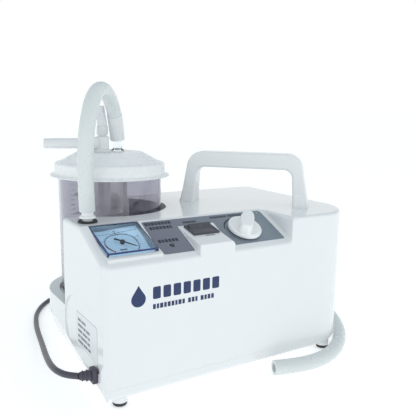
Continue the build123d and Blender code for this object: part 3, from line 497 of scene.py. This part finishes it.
def make_bushing():
    """The strain relief: a flanged plug in the wall and a ribbed neck that narrows towards the cord."""
    tip = Vector(CORD_ROUTE[0])
    root = Vector((CASE_LEFT, -0.079, 0.028))
    ahead = (tip - root).normalized()
    bm = bmesh.new()
    flange = soften(bar(-5 * MM, 5 * MM, -6.5 * MM, 6.5 * MM), 2 * MM)
    turn = Matrix.Rotation(math.radians(-90), 4, "Y") @ Matrix.Rotation(math.radians(90), 4, "Z")
    face_left = Matrix.Translation(root) @ turn
    add_prism(bm, flange, -0.2 * MM, 4.3 * MM, face_left)
    bmesh.ops.recalc_face_normals(bm, faces=bm.faces)
    rims = [e for e in bm.edges if e.calc_face_angle(0) > 1.0]
    bmesh.ops.bevel(bm, geom=rims, offset=0.8 * MM, segments=3, affect="EDGES", profile=0.6)
    start = root + ahead * 2 * MM
    reach = (tip - start).length
    steps = 48
    line = [start + ahead * reach * k / steps for k in range(steps + 1)]

    def radius(i):
        share = i / steps
        body = 4.9 - 1.5 * share
        wave = max(0.0, math.cos(math.tau * (share * 3.2 - 0.55)))
        rib = 0.75 * wave**0.5 if 0.12 < share < 0.86 else 0.0
        return (body + rib) * MM

    rings = sweep_rings(bm, line, radius, 32)
    skin(bm, rings)
    bm.faces.new(rings[0][::-1])
    bm.faces.new(rings[-1])
    inside = [root + Vector((0.01 * k / 4, 0, 0)) for k in range(5)]
    plug = sweep_rings(bm, inside, lambda i: 4.95 * MM, 32)
    skin(bm, plug)
    bm.faces.new(plug[0][::-1])
    bm.faces.new(plug[-1])
    piece = finish_mesh("strain_relief", bm, CORD, "root", angle=40)
    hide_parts("cord_bushing")
    return piece


def make_plug():
    """The moulded plug: a ribbed grip that narrows towards its cord, a flat face and two blades."""
    low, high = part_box("power_plug")
    centre = (low + high) / 2
    back = Vector((low.x, centre.y, centre.z))
    depth = 28 * MM
    bm = bmesh.new()
    rings = []
    stations = ((0, 0.42), (1.5, 0.5), (4, 0.52), (5, 0.44), (6.5, 0.44), (7.5, 0.58), (10, 0.62),
                (11, 0.54), (12.5, 0.54), (13.5, 0.72), (17, 0.86), (21, 0.96), (25, 0.99), (27, 0.97),
                (28, 0.9))
    for along, share in stations:
        half = 10.3 * MM * share
        outline = soften(bar(-half, half, -half * 0.94, half * 0.94), half * 0.8, 5)
        rings.append([bm.verts.new(back + Vector((along * MM, p[0], p[1]))) for p in outline])
    skin(bm, rings)
    bm.faces.new(rings[0][::-1])
    bm.faces.new(rings[-1])
    plug = finish_mesh("plug_body", bm, CORD, "root", angle=50)
    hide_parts("power_plug")
    bm = bmesh.new()
    for side in (-6, 6):
        place = Matrix.Translation(back + Vector((depth - MM, side * MM, 0)))
        blade = soften(bar(0, 19 * MM, -3 * MM, 3 * MM), 1.2 * MM)
        add_prism(bm, blade, -0.7 * MM, 0.7 * MM, place)
    blades = finish_mesh("plug_blades", bm, STEEL, "root")
    return plug, blades


def make_tie():
    """A hook-and-loop strap round the wound cord."""
    low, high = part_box("cord_tie")
    centre = (low + high) / 2
    half_x = (high.x - low.x) / 2 - 0.3 * MM
    half_z = (high.z - low.z) / 2 - 0.1 * MM
    outline = soften([(-half_x, -half_z), (half_x, -half_z), (half_x, half_z), (-half_x, half_z)], 5 * MM, 6)
    inner = soften([(-half_x + MM, -half_z + 0.6 * MM), (half_x - MM, -half_z + 0.6 * MM),
                    (half_x - MM, half_z - MM), (-half_x + MM, half_z - MM)], 4.6 * MM, 6)
    bm = bmesh.new()
    loops = []
    for loop, y in ((outline, low.y), (outline, high.y), (inner, high.y), (inner, low.y)):
        loops.append([bm.verts.new((centre.x + p[0], y, centre.z + p[1])) for p in loop])
    skin(bm, loops, closed=True)
    strap = finish_mesh("cord_strap", bm, TIE, "root", angle=40)
    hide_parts("cord_tie")
    return strap


def make_power_cord():
    """The mains lead in one piece, from the strain relief through its tied coil to the plug."""
    coil = coil_turns(CORD_COIL_AT, 118, 7 + 43 / 360, cord_lane)
    cord = nurbs("mains_cord", CORD_ROUTE[:-1] + coil + CORD_TAIL[1:])
    cord.data.bevel_depth = CORD_D / 2
    cord.data.bevel_resolution = 5
    cord.data.use_fill_caps = True
    cord.data.materials.append(CORD)
    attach(cord, "root")
    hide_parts("power_cord", "power_cord_coil")
    plug, blades = make_plug()
    strap = make_tie()
    length = length_of(line_of(CORD_ROUTE[:-1] + coil + CORD_TAIL[1:]))
    print("mains cord length", round(length, 4))


HOSE_REAR = [(0.100, 0.114, 0.036), (0.099, 0.128, 0.034), (0.095, 0.142, 0.029), (0.088, 0.155, 0.022)]
HOSE_FRONT = [(0.226, 0.168, 0.007), (0.221, 0.136, 0.007), (0.212, 0.100, 0.007),
              (0.201, 0.060, 0.007), (0.191, 0.020, 0.007), (0.179, -0.017, 0.007),
              (0.163, -0.049, 0.007), (0.143, -0.0765, 0.007), (0.120, -0.0985, 0.007),
              (0.095, -0.1135, 0.007), (0.068, -0.1195, 0.007), (0.042, -0.116, 0.007),
              (0.024, -0.110, 0.007)]
HOSE_COIL_AT = (0.148, 0.212)
HOSE_COIL_R = 0.077


def hose_layer(done):
    """The hose starts on top of its own last turn and comes down to the floor once it is past it."""
    drop = smooth((done - 0.70) / 0.26)
    return HOSE_COIL_R, HOSE_D * (1.5 - drop)


def make_suction_hose():
    """The long hose, from the rear spigot through its put-away turns and forward along the right side."""
    coil = coil_turns(HOSE_COIL_AT, 213, 1 + 213 / 360, hose_layer)
    line = line_of(HOSE_REAR + coil + HOSE_FRONT)
    hose = hose_tube("long_hose", line, "root")
    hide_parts("suction_hose", "suction_hose_coil")
    print("suction hose length", round(length_of(line), 4))


# (along from the inlet towards the nozzle, height)
LOOP_SIDE = [(0, 0.1565), (-0.0025, 0.178), (-0.003, 0.204), (0.003, 0.232), (0.020, 0.256), (0.045, 0.264),
             (0.070, 0.253), (0.085, 0.233)]


def hose_cuff(name, line, first, last):
    """A thin lighter sleeve over one end of a hose, between two stations of its line."""
    bm = bmesh.new()
    stretch = line[first:last]
    outer = sweep_rings(bm, stretch, lambda i: HOSE_D / 2 + 0.5 * MM)
    inner = sweep_rings(bm, stretch, lambda i: HOSE_D / 2 - 0.2 * MM)
    skin(bm, outer + inner[::-1], closed=True)
    cuff = finish_mesh(name, bm, PORT, "lid", angle=60)
    return cuff


def make_jar_hose():
    """The short hose that loops from the inlet connector over to the lid's nozzle."""
    start = mid("hose_connector")
    end = mid("vacuum_nozzle")
    span = math.hypot(end.x - start.x, end.y - start.y)
    route = []
    for along, height in LOOP_SIDE + [(span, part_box("vacuum_nozzle")[1].z)]:
        share = along / span
        route.append((start.x + (end.x - start.x) * share, start.y + (end.y - start.y) * share, height))
    line = line_of(route)
    hose = hose_tube("loop_hose", line, "lid")
    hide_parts("jar_hose")
    print("loop hose length", round(length_of(line), 4))
    cuff = hose_cuff("loop_cuff", line, len(line) - 8, len(line))


make_bushing()
make_power_cord()
make_suction_hose()
make_jar_hose()


# ---------------------------------------------------------------- CAD nodes that stay
def dress(materials_by_node):
    """Gives each CAD node its material."""
    for node, finish in materials_by_node.items():
        NODES[node].data.materials.clear()
        NODES[node].data.materials.append(finish)


dress({
    "upper_housing": CASE, "base_tray": CASE, "foot_pads": FOOT, "case_screws": STEEL, "handle": HANDLE,
    "handle_screws": STEEL, "console_overlay": OVERLAY, "power_lamp": LAMP, "gauge_dial": DIAL_PAINTED_GLOW,
    "gauge_can": CAN, "bourdon_tube": BRASS, "switch_body": SWITCH, "switch_rocker": SWITCH,
    "regulator_valve": BRASS, "regulator_stem": BRASS, "lid_seal": SEAL, "float_cage": CAGE_PAINTED_GLOW,
    "float_ball": BALL, "inlet_grommet": RUBBER, "inlet_elbow": LID, "pump_plate": STEEL,
    "pump_mounts": RUBBER, "stator_core": LAMINATION, "stator_windings": COPPER, "front_bell": ALLOY,
    "rear_bell": ALLOY, "motor_bearings": GROUND, "rotor": LAMINATION, "cooling_fan": FAN,
    "crankcase": ALLOY, "eccentric": GROUND, "connecting_rod": ALLOY, "diaphragm": RUBBER,
    "valve_plate": ALLOY, "pump_head": ALLOY, "head_screws": STEEL, "air_lines": SOFT_CLEAR,
    "exhaust_silencer": FAN, "exhaust_spigot": LID, "terminal_block": TERMINAL, "run_capacitor": CAN,
    "switch_wires": WIRE, "rating_plate": PLATE,
})


# ---------------------------------------------------------------- console
def console_place():
    """The frame on the overlay's face: X as the row's X, Y up the slope from the slope's middle."""
    centre = mid("console_overlay")
    up = Vector((0, math.cos(SLOPE), math.sin(SLOPE)))
    out = Vector((0, -math.sin(SLOPE), math.cos(SLOPE)))
    at = centre - up * SHEET_MID_V + out * SHEET_HALF
    at.x = 0
    return tilted(at, SLOPE)


def print_piece(name, bm, ink, body="root"):
    """Finishes printed marks as one piece."""
    piece = finish_mesh(name, bm, ink, body)
    return piece


def make_console_print():
    """Stand-in print on the overlay and on the white block, and the regulator's scale."""
    place = console_place()
    bm = bmesh.new()
    for x, y, height, words in ((-82.5, 19.6, 4.0, (8,)), (-80.5, 13.2, 4.0, (7,)), (-80.5, -5.4, 4.0, (6,)),
                                (-45, 17.6, 2.8, (6,)), (-14, 20.4, 2.8, (8, 9))):
        greek_line(bm, x * MM, y * MM, height * MM, words, place, 0, PRINT_T)
    knob = JOINTS["knob_turn"]
    dial = tilted(Vector(knob["pos_m"]), joint_tilt(knob))
    scale = arc_band(17.8 * MM, 20.4 * MM, 165, 25, 48, 0.4)
    add_prism(bm, scale, 0.5 * MM, 0.5 * MM + PRINT_T, dial)
    print_piece("console_print", bm, INK)
    bm = bmesh.new()
    corner = place @ Matrix.Translation((0.041, 0.022, 0))
    add_prism(bm, arc_band(0, 0.7 * MM, 0, 359, 24), 0, PRINT_T, corner)
    print_piece("console_dot", bm, KNOB)
    rocker = JOINTS["rocker_tilt"]
    block = tilted(Vector(rocker["pos_m"]), SWITCH_TILT)
    bm = bmesh.new()
    greek_line(bm, -2.5 * MM, -12.8 * MM, 1.9 * MM, (6,), block, 0, PRINT_T)
    print_piece("switch_print", bm, GREY_INK)


def make_switch_marks():
    """The I and O on the rocker's two halves."""
    rocker = JOINTS["rocker_tilt"]
    block = tilted(Vector(rocker["pos_m"]), SWITCH_TILT + ROCKER_REST)
    slope = math.radians(12)
    bm = bmesh.new()
    top = block @ Matrix.Translation((0, 0, 1.6 * MM))
    half = 3.6 * MM
    back = top @ Matrix.Rotation(slope, 4, "X") @ Matrix.Translation((0, half, 0))
    full_ring(bm, 1.05 * MM, 1.45 * MM, 0, PRINT_T, back, 32)
    front = top @ Matrix.Rotation(-slope, 4, "X") @ Matrix.Translation((0, -half, 0))
    add_prism(bm, bar(-0.22 * MM, 0.22 * MM, -1.4 * MM, 1.4 * MM), 0, PRINT_T, front)
    print_piece("rocker_marks", bm, GREY_INK, "rocker")


def soft_edges(node, width, segments=3):
    """Rounds a CAD node's sharp edges with a modifier."""
    bevel = NODES[node].modifiers.new("soft_edges", "BEVEL")
    bevel.width = width
    bevel.segments = segments
    bevel.limit_method = "ANGLE"
    bevel.angle_limit = math.radians(40)


def make_knob():
    """The regulator knob: a dished flange and a tapering grip that crosses it."""
    joint = JOINTS["knob_turn"]
    place = tilted(Vector(joint["pos_m"]), joint_tilt(joint), KNOB_TURN)
    flange = [(0.0, 1.2), (15.2, 1.2), (16.5, 2.2), (16.4, 4.6), (15.4, 5.8), (13.5, 6.1), (11.5, 5.6),
              (0.0, 5.2)]
    disc = lathe("knob_flange", turned(flange), KNOB, "knob", place, soft=0.8 * MM)
    bm = bmesh.new()
    corners = [(-15.4, -5.6), (-15.4, 5.6), (-6, 8.2), (8, 7.4), (15.2, 4.4), (15.2, -4.4), (8, -7.4),
               (-6, -8.2)]
    outline = soften(corners, 3.6, 5)
    layers = ((4.8, 1.0, 1.0), (8.0, 0.99, 0.95), (12.0, 0.97, 0.86), (14.2, 0.94, 0.78), (15.0, 0.9, 0.66))
    rings = []
    for height, long, wide in layers:
        rings.append([bm.verts.new((p[0] * long * MM, p[1] * wide * MM, height * MM)) for p in outline])
    skin(bm, rings)
    bm.faces.new(rings[0][::-1])
    bm.faces.new(rings[-1])
    grip = finish_mesh("knob_grip", bm, KNOB, "knob", place, 50)
    rim = grip.modifiers.new("rounded", "BEVEL")
    rim.width = 0.7 * MM
    rim.segments = 3
    rim.angle_limit = math.radians(35)
    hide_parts("regulator_knob")
    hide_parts("regulator_knob")


make_console_print()
make_switch_marks()
make_knob()
soft_edges("switch_rocker", 0.45 * MM)
soft_edges("switch_body", 0.3 * MM, 2)


# ---------------------------------------------------------------- gauge
GAUGE_W = 45.5 * MM
GAUGE_L = 46.8 * MM
LENS_H = 6 * MM
LENS_WALL = 1.7 * MM
DIAL_TOP = -LENS_H + 0.8 * MM


def gauge_place():
    """The frame in the middle of the window's outer face."""
    joint = JOINTS["needle_swing"]
    return tilted(Vector(joint["pos_m"]), joint_tilt(joint))


def make_window():
    """The clear blue cover with its dark edge, hollow from below."""
    place = gauge_place()
    bm = bmesh.new()
    loops = []
    shapes = ((0, -LENS_H), (0, -0.5 * MM), (0.15 * MM, -0.15 * MM), (0.5 * MM, 0))
    outer = [(GAUGE_W / 2 - inset, GAUGE_L / 2 - inset, z) for inset, z in shapes]
    roof = [(GAUGE_W / 2 - LENS_WALL, GAUGE_L / 2 - LENS_WALL, z) for z in (-LENS_WALL, -LENS_H)]
    for half_x, half_y, z in outer:
        outline = soften(bar(-half_x, half_x, -half_y, half_y), 1.6 * MM, 5)
        loops.append([bm.verts.new((p[0], p[1], z)) for p in outline])
    skin(bm, loops)
    bm.faces.new(loops[-1])
    inside = []
    for half_x, half_y, z in roof:
        outline = soften(bar(-half_x, half_x, -half_y, half_y), 0.8 * MM, 5)
        inside.append([bm.verts.new((p[0], p[1], z)) for p in outline])
    skin(bm, inside)
    bm.faces.new(inside[0][::-1])
    skin(bm, [inside[-1], loops[0]])
    window = finish_mesh("gauge_cover", bm, WINDOW, "root", place, 40)
    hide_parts("gauge_window")
    bm = bmesh.new()
    edge = []
    section = ((-0.05, -1.0), (-0.05, -0.35), (0.45, 0.08), (1.15, 0.08), (1.15, -0.3), (0.5, -0.5),
               (0.5, -1.0))
    for inset, z in section:
        half_x = GAUGE_W / 2 - inset * MM
        half_y = GAUGE_L / 2 - inset * MM
        outline = soften(bar(-half_x, half_x, -half_y, half_y), 1.6 * MM, 5)
        edge.append([bm.verts.new((p[0], p[1], z * MM)) for p in outline])
    skin(bm, edge, closed=True)
    rim = finish_mesh("gauge_rim", bm, WINDOW_EDGE, "root", place, 50)


def make_text(words, size, place, name):
    """A number as thin raised print, its middle at the place's origin."""
    data = bpy.data.curves.new(name, "FONT")
    data.body = words
    data.size = size
    data.align_x = "CENTER"
    data.align_y = "CENTER"
    data.extrude = PRINT_T / 2
    data.resolution_u = 3
    text = bpy.data.objects.new(name, data)
    bpy.context.scene.collection.objects.link(text)
    mesh = bpy.data.meshes.new_from_object(text)
    bpy.data.objects.remove(text)
    mesh.transform(place)
    return mesh


def join_meshes(name, meshes, ink, body):
    """Makes one piece of several meshes."""
    bm = bmesh.new()
    for mesh in meshes:
        bm.from_mesh(mesh)
        bpy.data.meshes.remove(mesh)
    return finish_mesh(name, bm, ink, body)


def make_dial():
    """The dial's arc, ticks, numbers, red stretch and frame lines."""
    place = gauge_place() @ Matrix.Translation((0, 0, DIAL_TOP))
    bm = bmesh.new()
    add_prism(bm, arc_band(13.7 * MM, 14.3 * MM, 180, -45, 64), 0, PRINT_T, place)
    for k in range(41):
        angle = math.radians(226 - 271 * k / 40)
        long = 2.6 if k % 10 == 0 else 1.8 if k % 5 == 0 else 1.0
        half = 0.22 * MM if k % 10 == 0 else 0.12 * MM
        tick = bar(14.0 * MM, (14.2 + long) * MM, -half, half)
        add_prism(bm, tick, 0, PRINT_T, place @ Matrix.Rotation(angle, 4, "Z"))
    half = GAUGE_W / 2 - 3.2 * MM
    for y, thick in ((15.6, 0.35), (-21.2, 0.3)):
        add_prism(bm, bar(-half, half, y * MM, (y + thick) * MM), 0, PRINT_T, place)
    greek_line(bm, -5 * MM, -9.2 * MM, 1.9 * MM, (4,), place, 0, PRINT_T)
    greek_line(bm, -3.4 * MM, -12.6 * MM, 1.6 * MM, (3,), place, 0, PRINT_T)
    marks = finish_mesh("dial_marks", bm, NAVY_INK, "root")
    bm = bmesh.new()
    add_prism(bm, arc_band(13.5 * MM, 14.7 * MM, 226, 180, 24), 0, 1.2 * PRINT_T, place)
    red = finish_mesh("dial_red", bm, RED_INK, "root")
    numbers = []
    for k, value in enumerate(("0", "2", "4", "6", "8")):
        angle = math.radians(226 - 271 * k / 4)
        spot = Matrix.Translation((18.6 * MM * math.cos(angle), 18.6 * MM * math.sin(angle) * 0.97, 0))
        numbers.append(make_text(value, 3.6 * MM, place @ spot, "number"))
    figures = join_meshes("dial_numbers", numbers, NAVY_INK, "root")


def make_needle():
    """The pointer with its counterweight and hub."""
    height = DIAL_TOP + 1.3 * MM
    turn = Matrix.Rotation(math.radians(-45), 4, "Z")
    place = gauge_place() @ Matrix.Translation((0, 0, height)) @ turn
    bm = bmesh.new()
    pointer = [(-1.6, -0.75), (-3.2, -0.8), (-7.4, -1.15), (-7.4, 1.15), (-3.2, 0.8), (-1.6, 0.75),
               (1.5, 0.7), (13.2, 0.16), (13.2, -0.16), (1.5, -0.7)]
    add_prism(bm, turned(pointer), 0, 0.35 * MM, place)
    needle = finish_mesh("needle_pointer", bm, BLACK, "needle")
    hub_profile = [(0, -1.0), (1.9, -1.0), (2.1, 0.5), (1.3, 0.9), (0, 0.9)]
    hub = lathe("needle_hub", turned(hub_profile), BLACK, "needle", place, 40, 0.2 * MM)
    for piece in (needle, hub):
        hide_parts("gauge_needle")


make_window()
make_dial()
make_needle()


# ---------------------------------------------------------------- jar and lid
def jar_axis(z=0.0):
    """A point on the jar's axis."""
    centre = mid("collection_jar")
    return Matrix.Translation((centre.x, centre.y, z))


def make_jar():
    """The smoke-tinted jar with its moulded foot ring, tapering wall and beaded rim."""
    low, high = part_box("collection_jar")
    top = (high.z - low.z) / MM
    outer_top = (high.x - low.x) / 2 / MM
    bottom = outer_top - 2.0
    wall = 2.2
    profile = [(0, 1.6), (38, 1.4), (40, 0), (44.5, 0), (bottom - 1.2, 1.0), (bottom, 4.2),
               (outer_top - 0.9, top - 8), (outer_top - 0.1, top - 6.5), (outer_top, top),
               (outer_top - wall, top), (outer_top - wall - 0.4, top - 8), (bottom - wall, 7),
               (bottom - wall - 3.5, 3.6), (0, 3.4)]
    jar = lathe("jar_shell", turned(profile), SMOKED, "jar", jar_axis(low.z), 128, 1.0 * MM)
    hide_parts("collection_jar")
    return bottom, outer_top, low.z, high.z


def make_graduations(bottom, outer_top, z0, z1):
    """Level lines and numbers printed on the jar's back left."""
    azimuth = math.radians(118)
    meshes = []
    bm = bmesh.new()
    count = 10
    for k in range(1, 2 * count):
        z = z0 + 10 * MM + k * 5.2 * MM
        share = (z - z0) / (z1 - z0)
        radius = (bottom + (outer_top - 0.9 - bottom) * share) * MM
        wide = 0.11 if k % 2 == 0 else 0.06
        centre = mid("collection_jar")
        steps = 6
        place = Matrix.Translation((centre.x, centre.y, z))
        band = []
        for r in (radius + 0.02 * MM, radius + 0.1 * MM):
            angles = [azimuth + wide * s / steps for s in range(steps + 1)]
            band.append([(r * math.cos(angle), r * math.sin(angle)) for angle in angles])
        add_prism(bm, band[0] + band[1][::-1], 0, 0.5 * MM, place)
        if k % 4 == 0:
            out = Vector((math.cos(azimuth - 0.1), math.sin(azimuth - 0.1), 0))
            across = Vector((-out.y, out.x, 0))
            spot = Vector((centre.x, centre.y, z + 0.2 * MM)) + out * (radius + 0.15 * MM)
            turn = Matrix((across, Vector((0, 0, 1)), out)).transposed().to_4x4()
            meshes.append(make_text(str(k * 50), 5 * MM, Matrix.Translation(spot) @ turn, "level"))
    lines = finish_mesh("jar_levels", bm, INK, "jar")
    numbers = join_meshes("jar_numbers", meshes, INK, "jar")


def make_lid():
    """The lid: flange, skirt, shoulder, cone and flat top, hollow beneath."""
    low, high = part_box("jar_lid")
    top = (high.z - low.z) / MM
    reach = (high.x - low.x) / 2 / MM
    seat = (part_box("collection_jar")[1].z - low.z) / MM + 1.6
    shoulder = top - 9.8
    profile = [(0, top), (32.5, top), (33.4, top - 0.4), (49.6, shoulder + 0.5), (53.0, shoulder),
               (54.4, shoulder - 1.4), (54.6, 2.6), (reach - 1.2, 1.7), (reach, 1.2), (reach - 0.2, 0.3),
               (52.5, 0), (52.5, seat), (47.5, seat), (47.5, shoulder - 2), (32, top - 2.4), (0, top - 2.4)]
    lid = lathe("lid_shell", turned(profile), LID, "lid", jar_axis(low.z), 144, 0.9 * MM)
    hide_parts("jar_lid")
    return high.z


def upright(x, y, z):
    """A frame at a point with its Z up."""
    return Matrix.Translation((x, y, z))


def make_ports(lid_top):
    """The patient port with its side pipe, its cap with a soft stem, and the vacuum nozzle."""
    cap = mid("port_cap")
    base = [(2.6, 0), (8.5, 0), (8.5, 2.4), (7.2, 3.2), (6.4, 3.4), (6.4, 14.8), (5.6, 15.4),
            (4.3, 15.6), (4.2, 21.6), (2.6, 21.6)]
    post = lathe("port_post", turned(base), PORT, "lid", upright(cap.x, cap.y, lid_top), 64, 0.5 * MM)
    turn = math.radians(PORT_TURN)
    axis_z = lid_top + 8.7 * MM
    ahead = Vector((math.cos(turn), math.sin(turn), 0))
    side = Vector((-math.sin(turn), math.cos(turn), 0))
    frame_of_pipe = Matrix((side, Vector((0, 0, 1)), ahead)).transposed().to_4x4()
    place = Matrix.Translation((cap.x, cap.y, axis_z)) @ frame_of_pipe
    pipe_profile = [(3.4, 4), (4.9, 4), (5.0, 7), (4.95, 44), (4.7, 55.6), (4.4, 56), (3.5, 56), (3.4, 55.4)]
    pipe = lathe("port_pipe", turned(pipe_profile), PORT, "lid", place, 56, 0.3 * MM)
    collar = [(4.0, 4.0), (6.0, 4.0), (6.1, 8.6), (5.6, 9.0), (4.0, 9.0)]
    ring = lathe("port_collar", turned(collar), PORT, "lid", place, 56, 0.3 * MM)
    for piece in (post, pipe, ring):
        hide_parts("patient_port")
    cap_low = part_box("port_cap")[0].z
    cap_profile = [(4.3, 0), (5.3, 0), (5.6, 0.5), (5.5, 8.0), (4.8, 9.0), (0, 9.0), (0, 5.1), (4.3, 5.1)]
    cap_place = upright(cap.x, cap.y, cap_low)
    stopper = lathe("port_stopper", turned(cap_profile), SOFT_CLEAR, "cap", cap_place, 56, 0.4 * MM)
    turn = Matrix.Rotation(math.radians(CAP_STEM_TURN), 4, "Z")
    lean = Matrix.Rotation(math.radians(CAP_STEM_LEAN), 4, "Y")
    stem_place = upright(cap.x, cap.y, cap_low + 9 * MM) @ turn @ lean
    stem_profile = [(0, -0.7), (4.9, -0.7), (4.7, 2.0), (4.2, 12.0), (3.9, 18.6), (3.2, 19.2), (0, 19.2)]
    stem = lathe("cap_stem", turned(stem_profile), SOFT_CLEAR, "cap", stem_place, 48, 0.6 * MM)
    for piece in (stopper, stem):
        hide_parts("port_cap")
    nozzle = mid("vacuum_nozzle")
    spout = [(2.4, 0), (6.5, 0), (6.5, 1.5), (5.6, 2.2), (4.6, 2.6), (4.6, 11.8), (2.4, 11.8)]
    spout_place = upright(nozzle.x, nozzle.y, lid_top)
    clear_spout = lathe("nozzle_spout", turned(spout), NOZZLE, "lid", spout_place, 56, 0.4 * MM)
    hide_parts("vacuum_nozzle")


def make_connector():
    """The hose's plug-in connector with its ridges."""
    low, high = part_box("hose_connector")
    centre = (low + high) / 2
    body = [(2.4, 0), (3.9, 0), (4.6, 1.6), (4.6, 11.2), (6.4, 11.4), (7.0, 12.0), (7.0, 13.4),
            (6.2, 14.0), (5.0, 14.2), (5.3, 15.6), (5.0, 16.2), (5.3, 17.0), (4.8, 18), (2.4, 18)]
    place = upright(centre.x, centre.y, low.z)
    plug = lathe("connector_body", turned(body), LID, "lid", place, 56, 0.35 * MM)
    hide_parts("hose_connector")


bottom, outer_top, z0, z1 = make_jar()
make_graduations(bottom, outer_top, z0, z1)
lid_top = make_lid()
make_ports(lid_top)
make_connector()


# ---------------------------------------------------------------- prints on the case
def make_front_print():
    """A plain stand-in for the maker's print on the front: a drop and two lines of blocks."""
    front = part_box("upper_housing")[0].y
    place = Matrix.Translation((0, front, 0)) @ Matrix.Rotation(math.radians(90), 4, "X")
    bm = bmesh.new()
    drop = []
    radius = 6.5 * MM
    for k in range(32):
        angle = math.tau * k / 32
        pull = max(0.0, math.sin(angle)) ** 3
        x = -0.110 + radius * math.cos(angle) * (1 - 0.75 * pull)
        z = 0.0935 + radius * math.sin(angle) + 5 * MM * pull
        drop.append((x, z))
    add_prism(bm, drop, 0, PRINT_T, place)
    for k in range(7):
        x = -0.097 + 9.6 * MM * k
        add_prism(bm, soften(bar(x, x + 7.2 * MM, 0.0915, 0.0915 + 10.5 * MM), 1.5 * MM), 0, PRINT_T, place)
    greek_line(bm, -0.097, 0.083, 4.2 * MM, (9, 3, 4), place, 0, PRINT_T)
    piece = finish_mesh("front_print", bm, NAVY_INK, "root")


def make_plate_print():
    """Five lines of stand-in print on the rating plate."""
    low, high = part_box("rating_plate")
    centre = (low + high) / 2
    face_left = Matrix.Rotation(math.radians(-90), 4, "Z") @ Matrix.Rotation(math.radians(90), 4, "X")
    place = Matrix.Translation((low.x, centre.y, centre.z)) @ face_left
    bm = bmesh.new()
    for row, words in enumerate(((4, 5), (6, 3, 4), (5, 6, 2), (3, 7, 3), (6, 5, 3))):
        greek_line(bm, -20 * MM, (8 - 5 * row) * MM, 2.4 * MM, words, place, 0, PRINT_T)
    piece = finish_mesh("plate_print", bm, GREY_INK, "root")


make_front_print()
make_plate_print()


# ---------------------------------------------------------------- stage and light
def make_stage():
    """A plain pale floor."""
    bpy.ops.mesh.primitive_plane_add(size=80, location=(0, 0, -0.0002))
    floor = bpy.context.object
    floor.name = "floor"
    white = material("floor_white", (0.9, 0.9, 0.9), 0.8, 0.05, 60, 0.005, 0.004, Emission_Color=(1, 1, 1, 1))
    white.node_tree.nodes["Principled BSDF"].inputs["Emission Strength"].default_value = 0.42
    floor.data.materials.append(white)


def make_world():
    """Soft studio surroundings: white low down, pale blue-grey higher up."""
    scene = bpy.context.scene
    world = bpy.data.worlds.new("studio")
    scene.world = world
    world.use_nodes = True
    tree = world.node_tree
    back = tree.nodes["Background"]
    where = tree.nodes.new("ShaderNodeTexCoord")
    split = tree.nodes.new("ShaderNodeSeparateXYZ")
    ramp = tree.nodes.new("ShaderNodeValToRGB")
    ramp.color_ramp.elements[0].position = 0.19
    ramp.color_ramp.elements[0].color = (1, 1, 1, 1)
    ramp.color_ramp.elements[1].position = 0.30
    ramp.color_ramp.elements[1].color = (0.50, 0.60, 0.65, 1)
    top = ramp.color_ramp.elements.new(0.7)
    top.color = (0.62, 0.68, 0.71, 1)
    tree.links.new(where.outputs["Generated"], split.inputs["Vector"])
    tree.links.new(split.outputs["Z"], ramp.inputs["Fac"])
    tree.links.new(ramp.outputs["Color"], back.inputs["Color"])
    back.inputs["Strength"].default_value = 1.0


def soft_light(name, at, towards, size, power):
    """A rectangular soft box aimed at a point."""
    data = bpy.data.lights.new(name, "AREA")
    data.shape = "RECTANGLE"
    data.size, data.size_y = size
    data.energy = power
    light = bpy.data.objects.new(name, data)
    light.location = at
    light.rotation_mode = "QUATERNION"
    light.rotation_quaternion = (Vector(towards) - Vector(at)).to_track_quat("-Z", "Y")
    bpy.context.scene.collection.objects.link(light)


make_stage()
make_world()
soft_light("key", (-1.3, -1.7, 1.3), (0, 0, 0.08), (0.9, 1.3), 4)
soft_light("fill", (1.6, -1.5, 0.9), (0, 0, 0.08), (0.8, 1.2), 2)
bpy.context.scene.view_settings.view_transform = "Standard"
bpy.context.scene.cycles.sample_clamp_indirect = 2.0
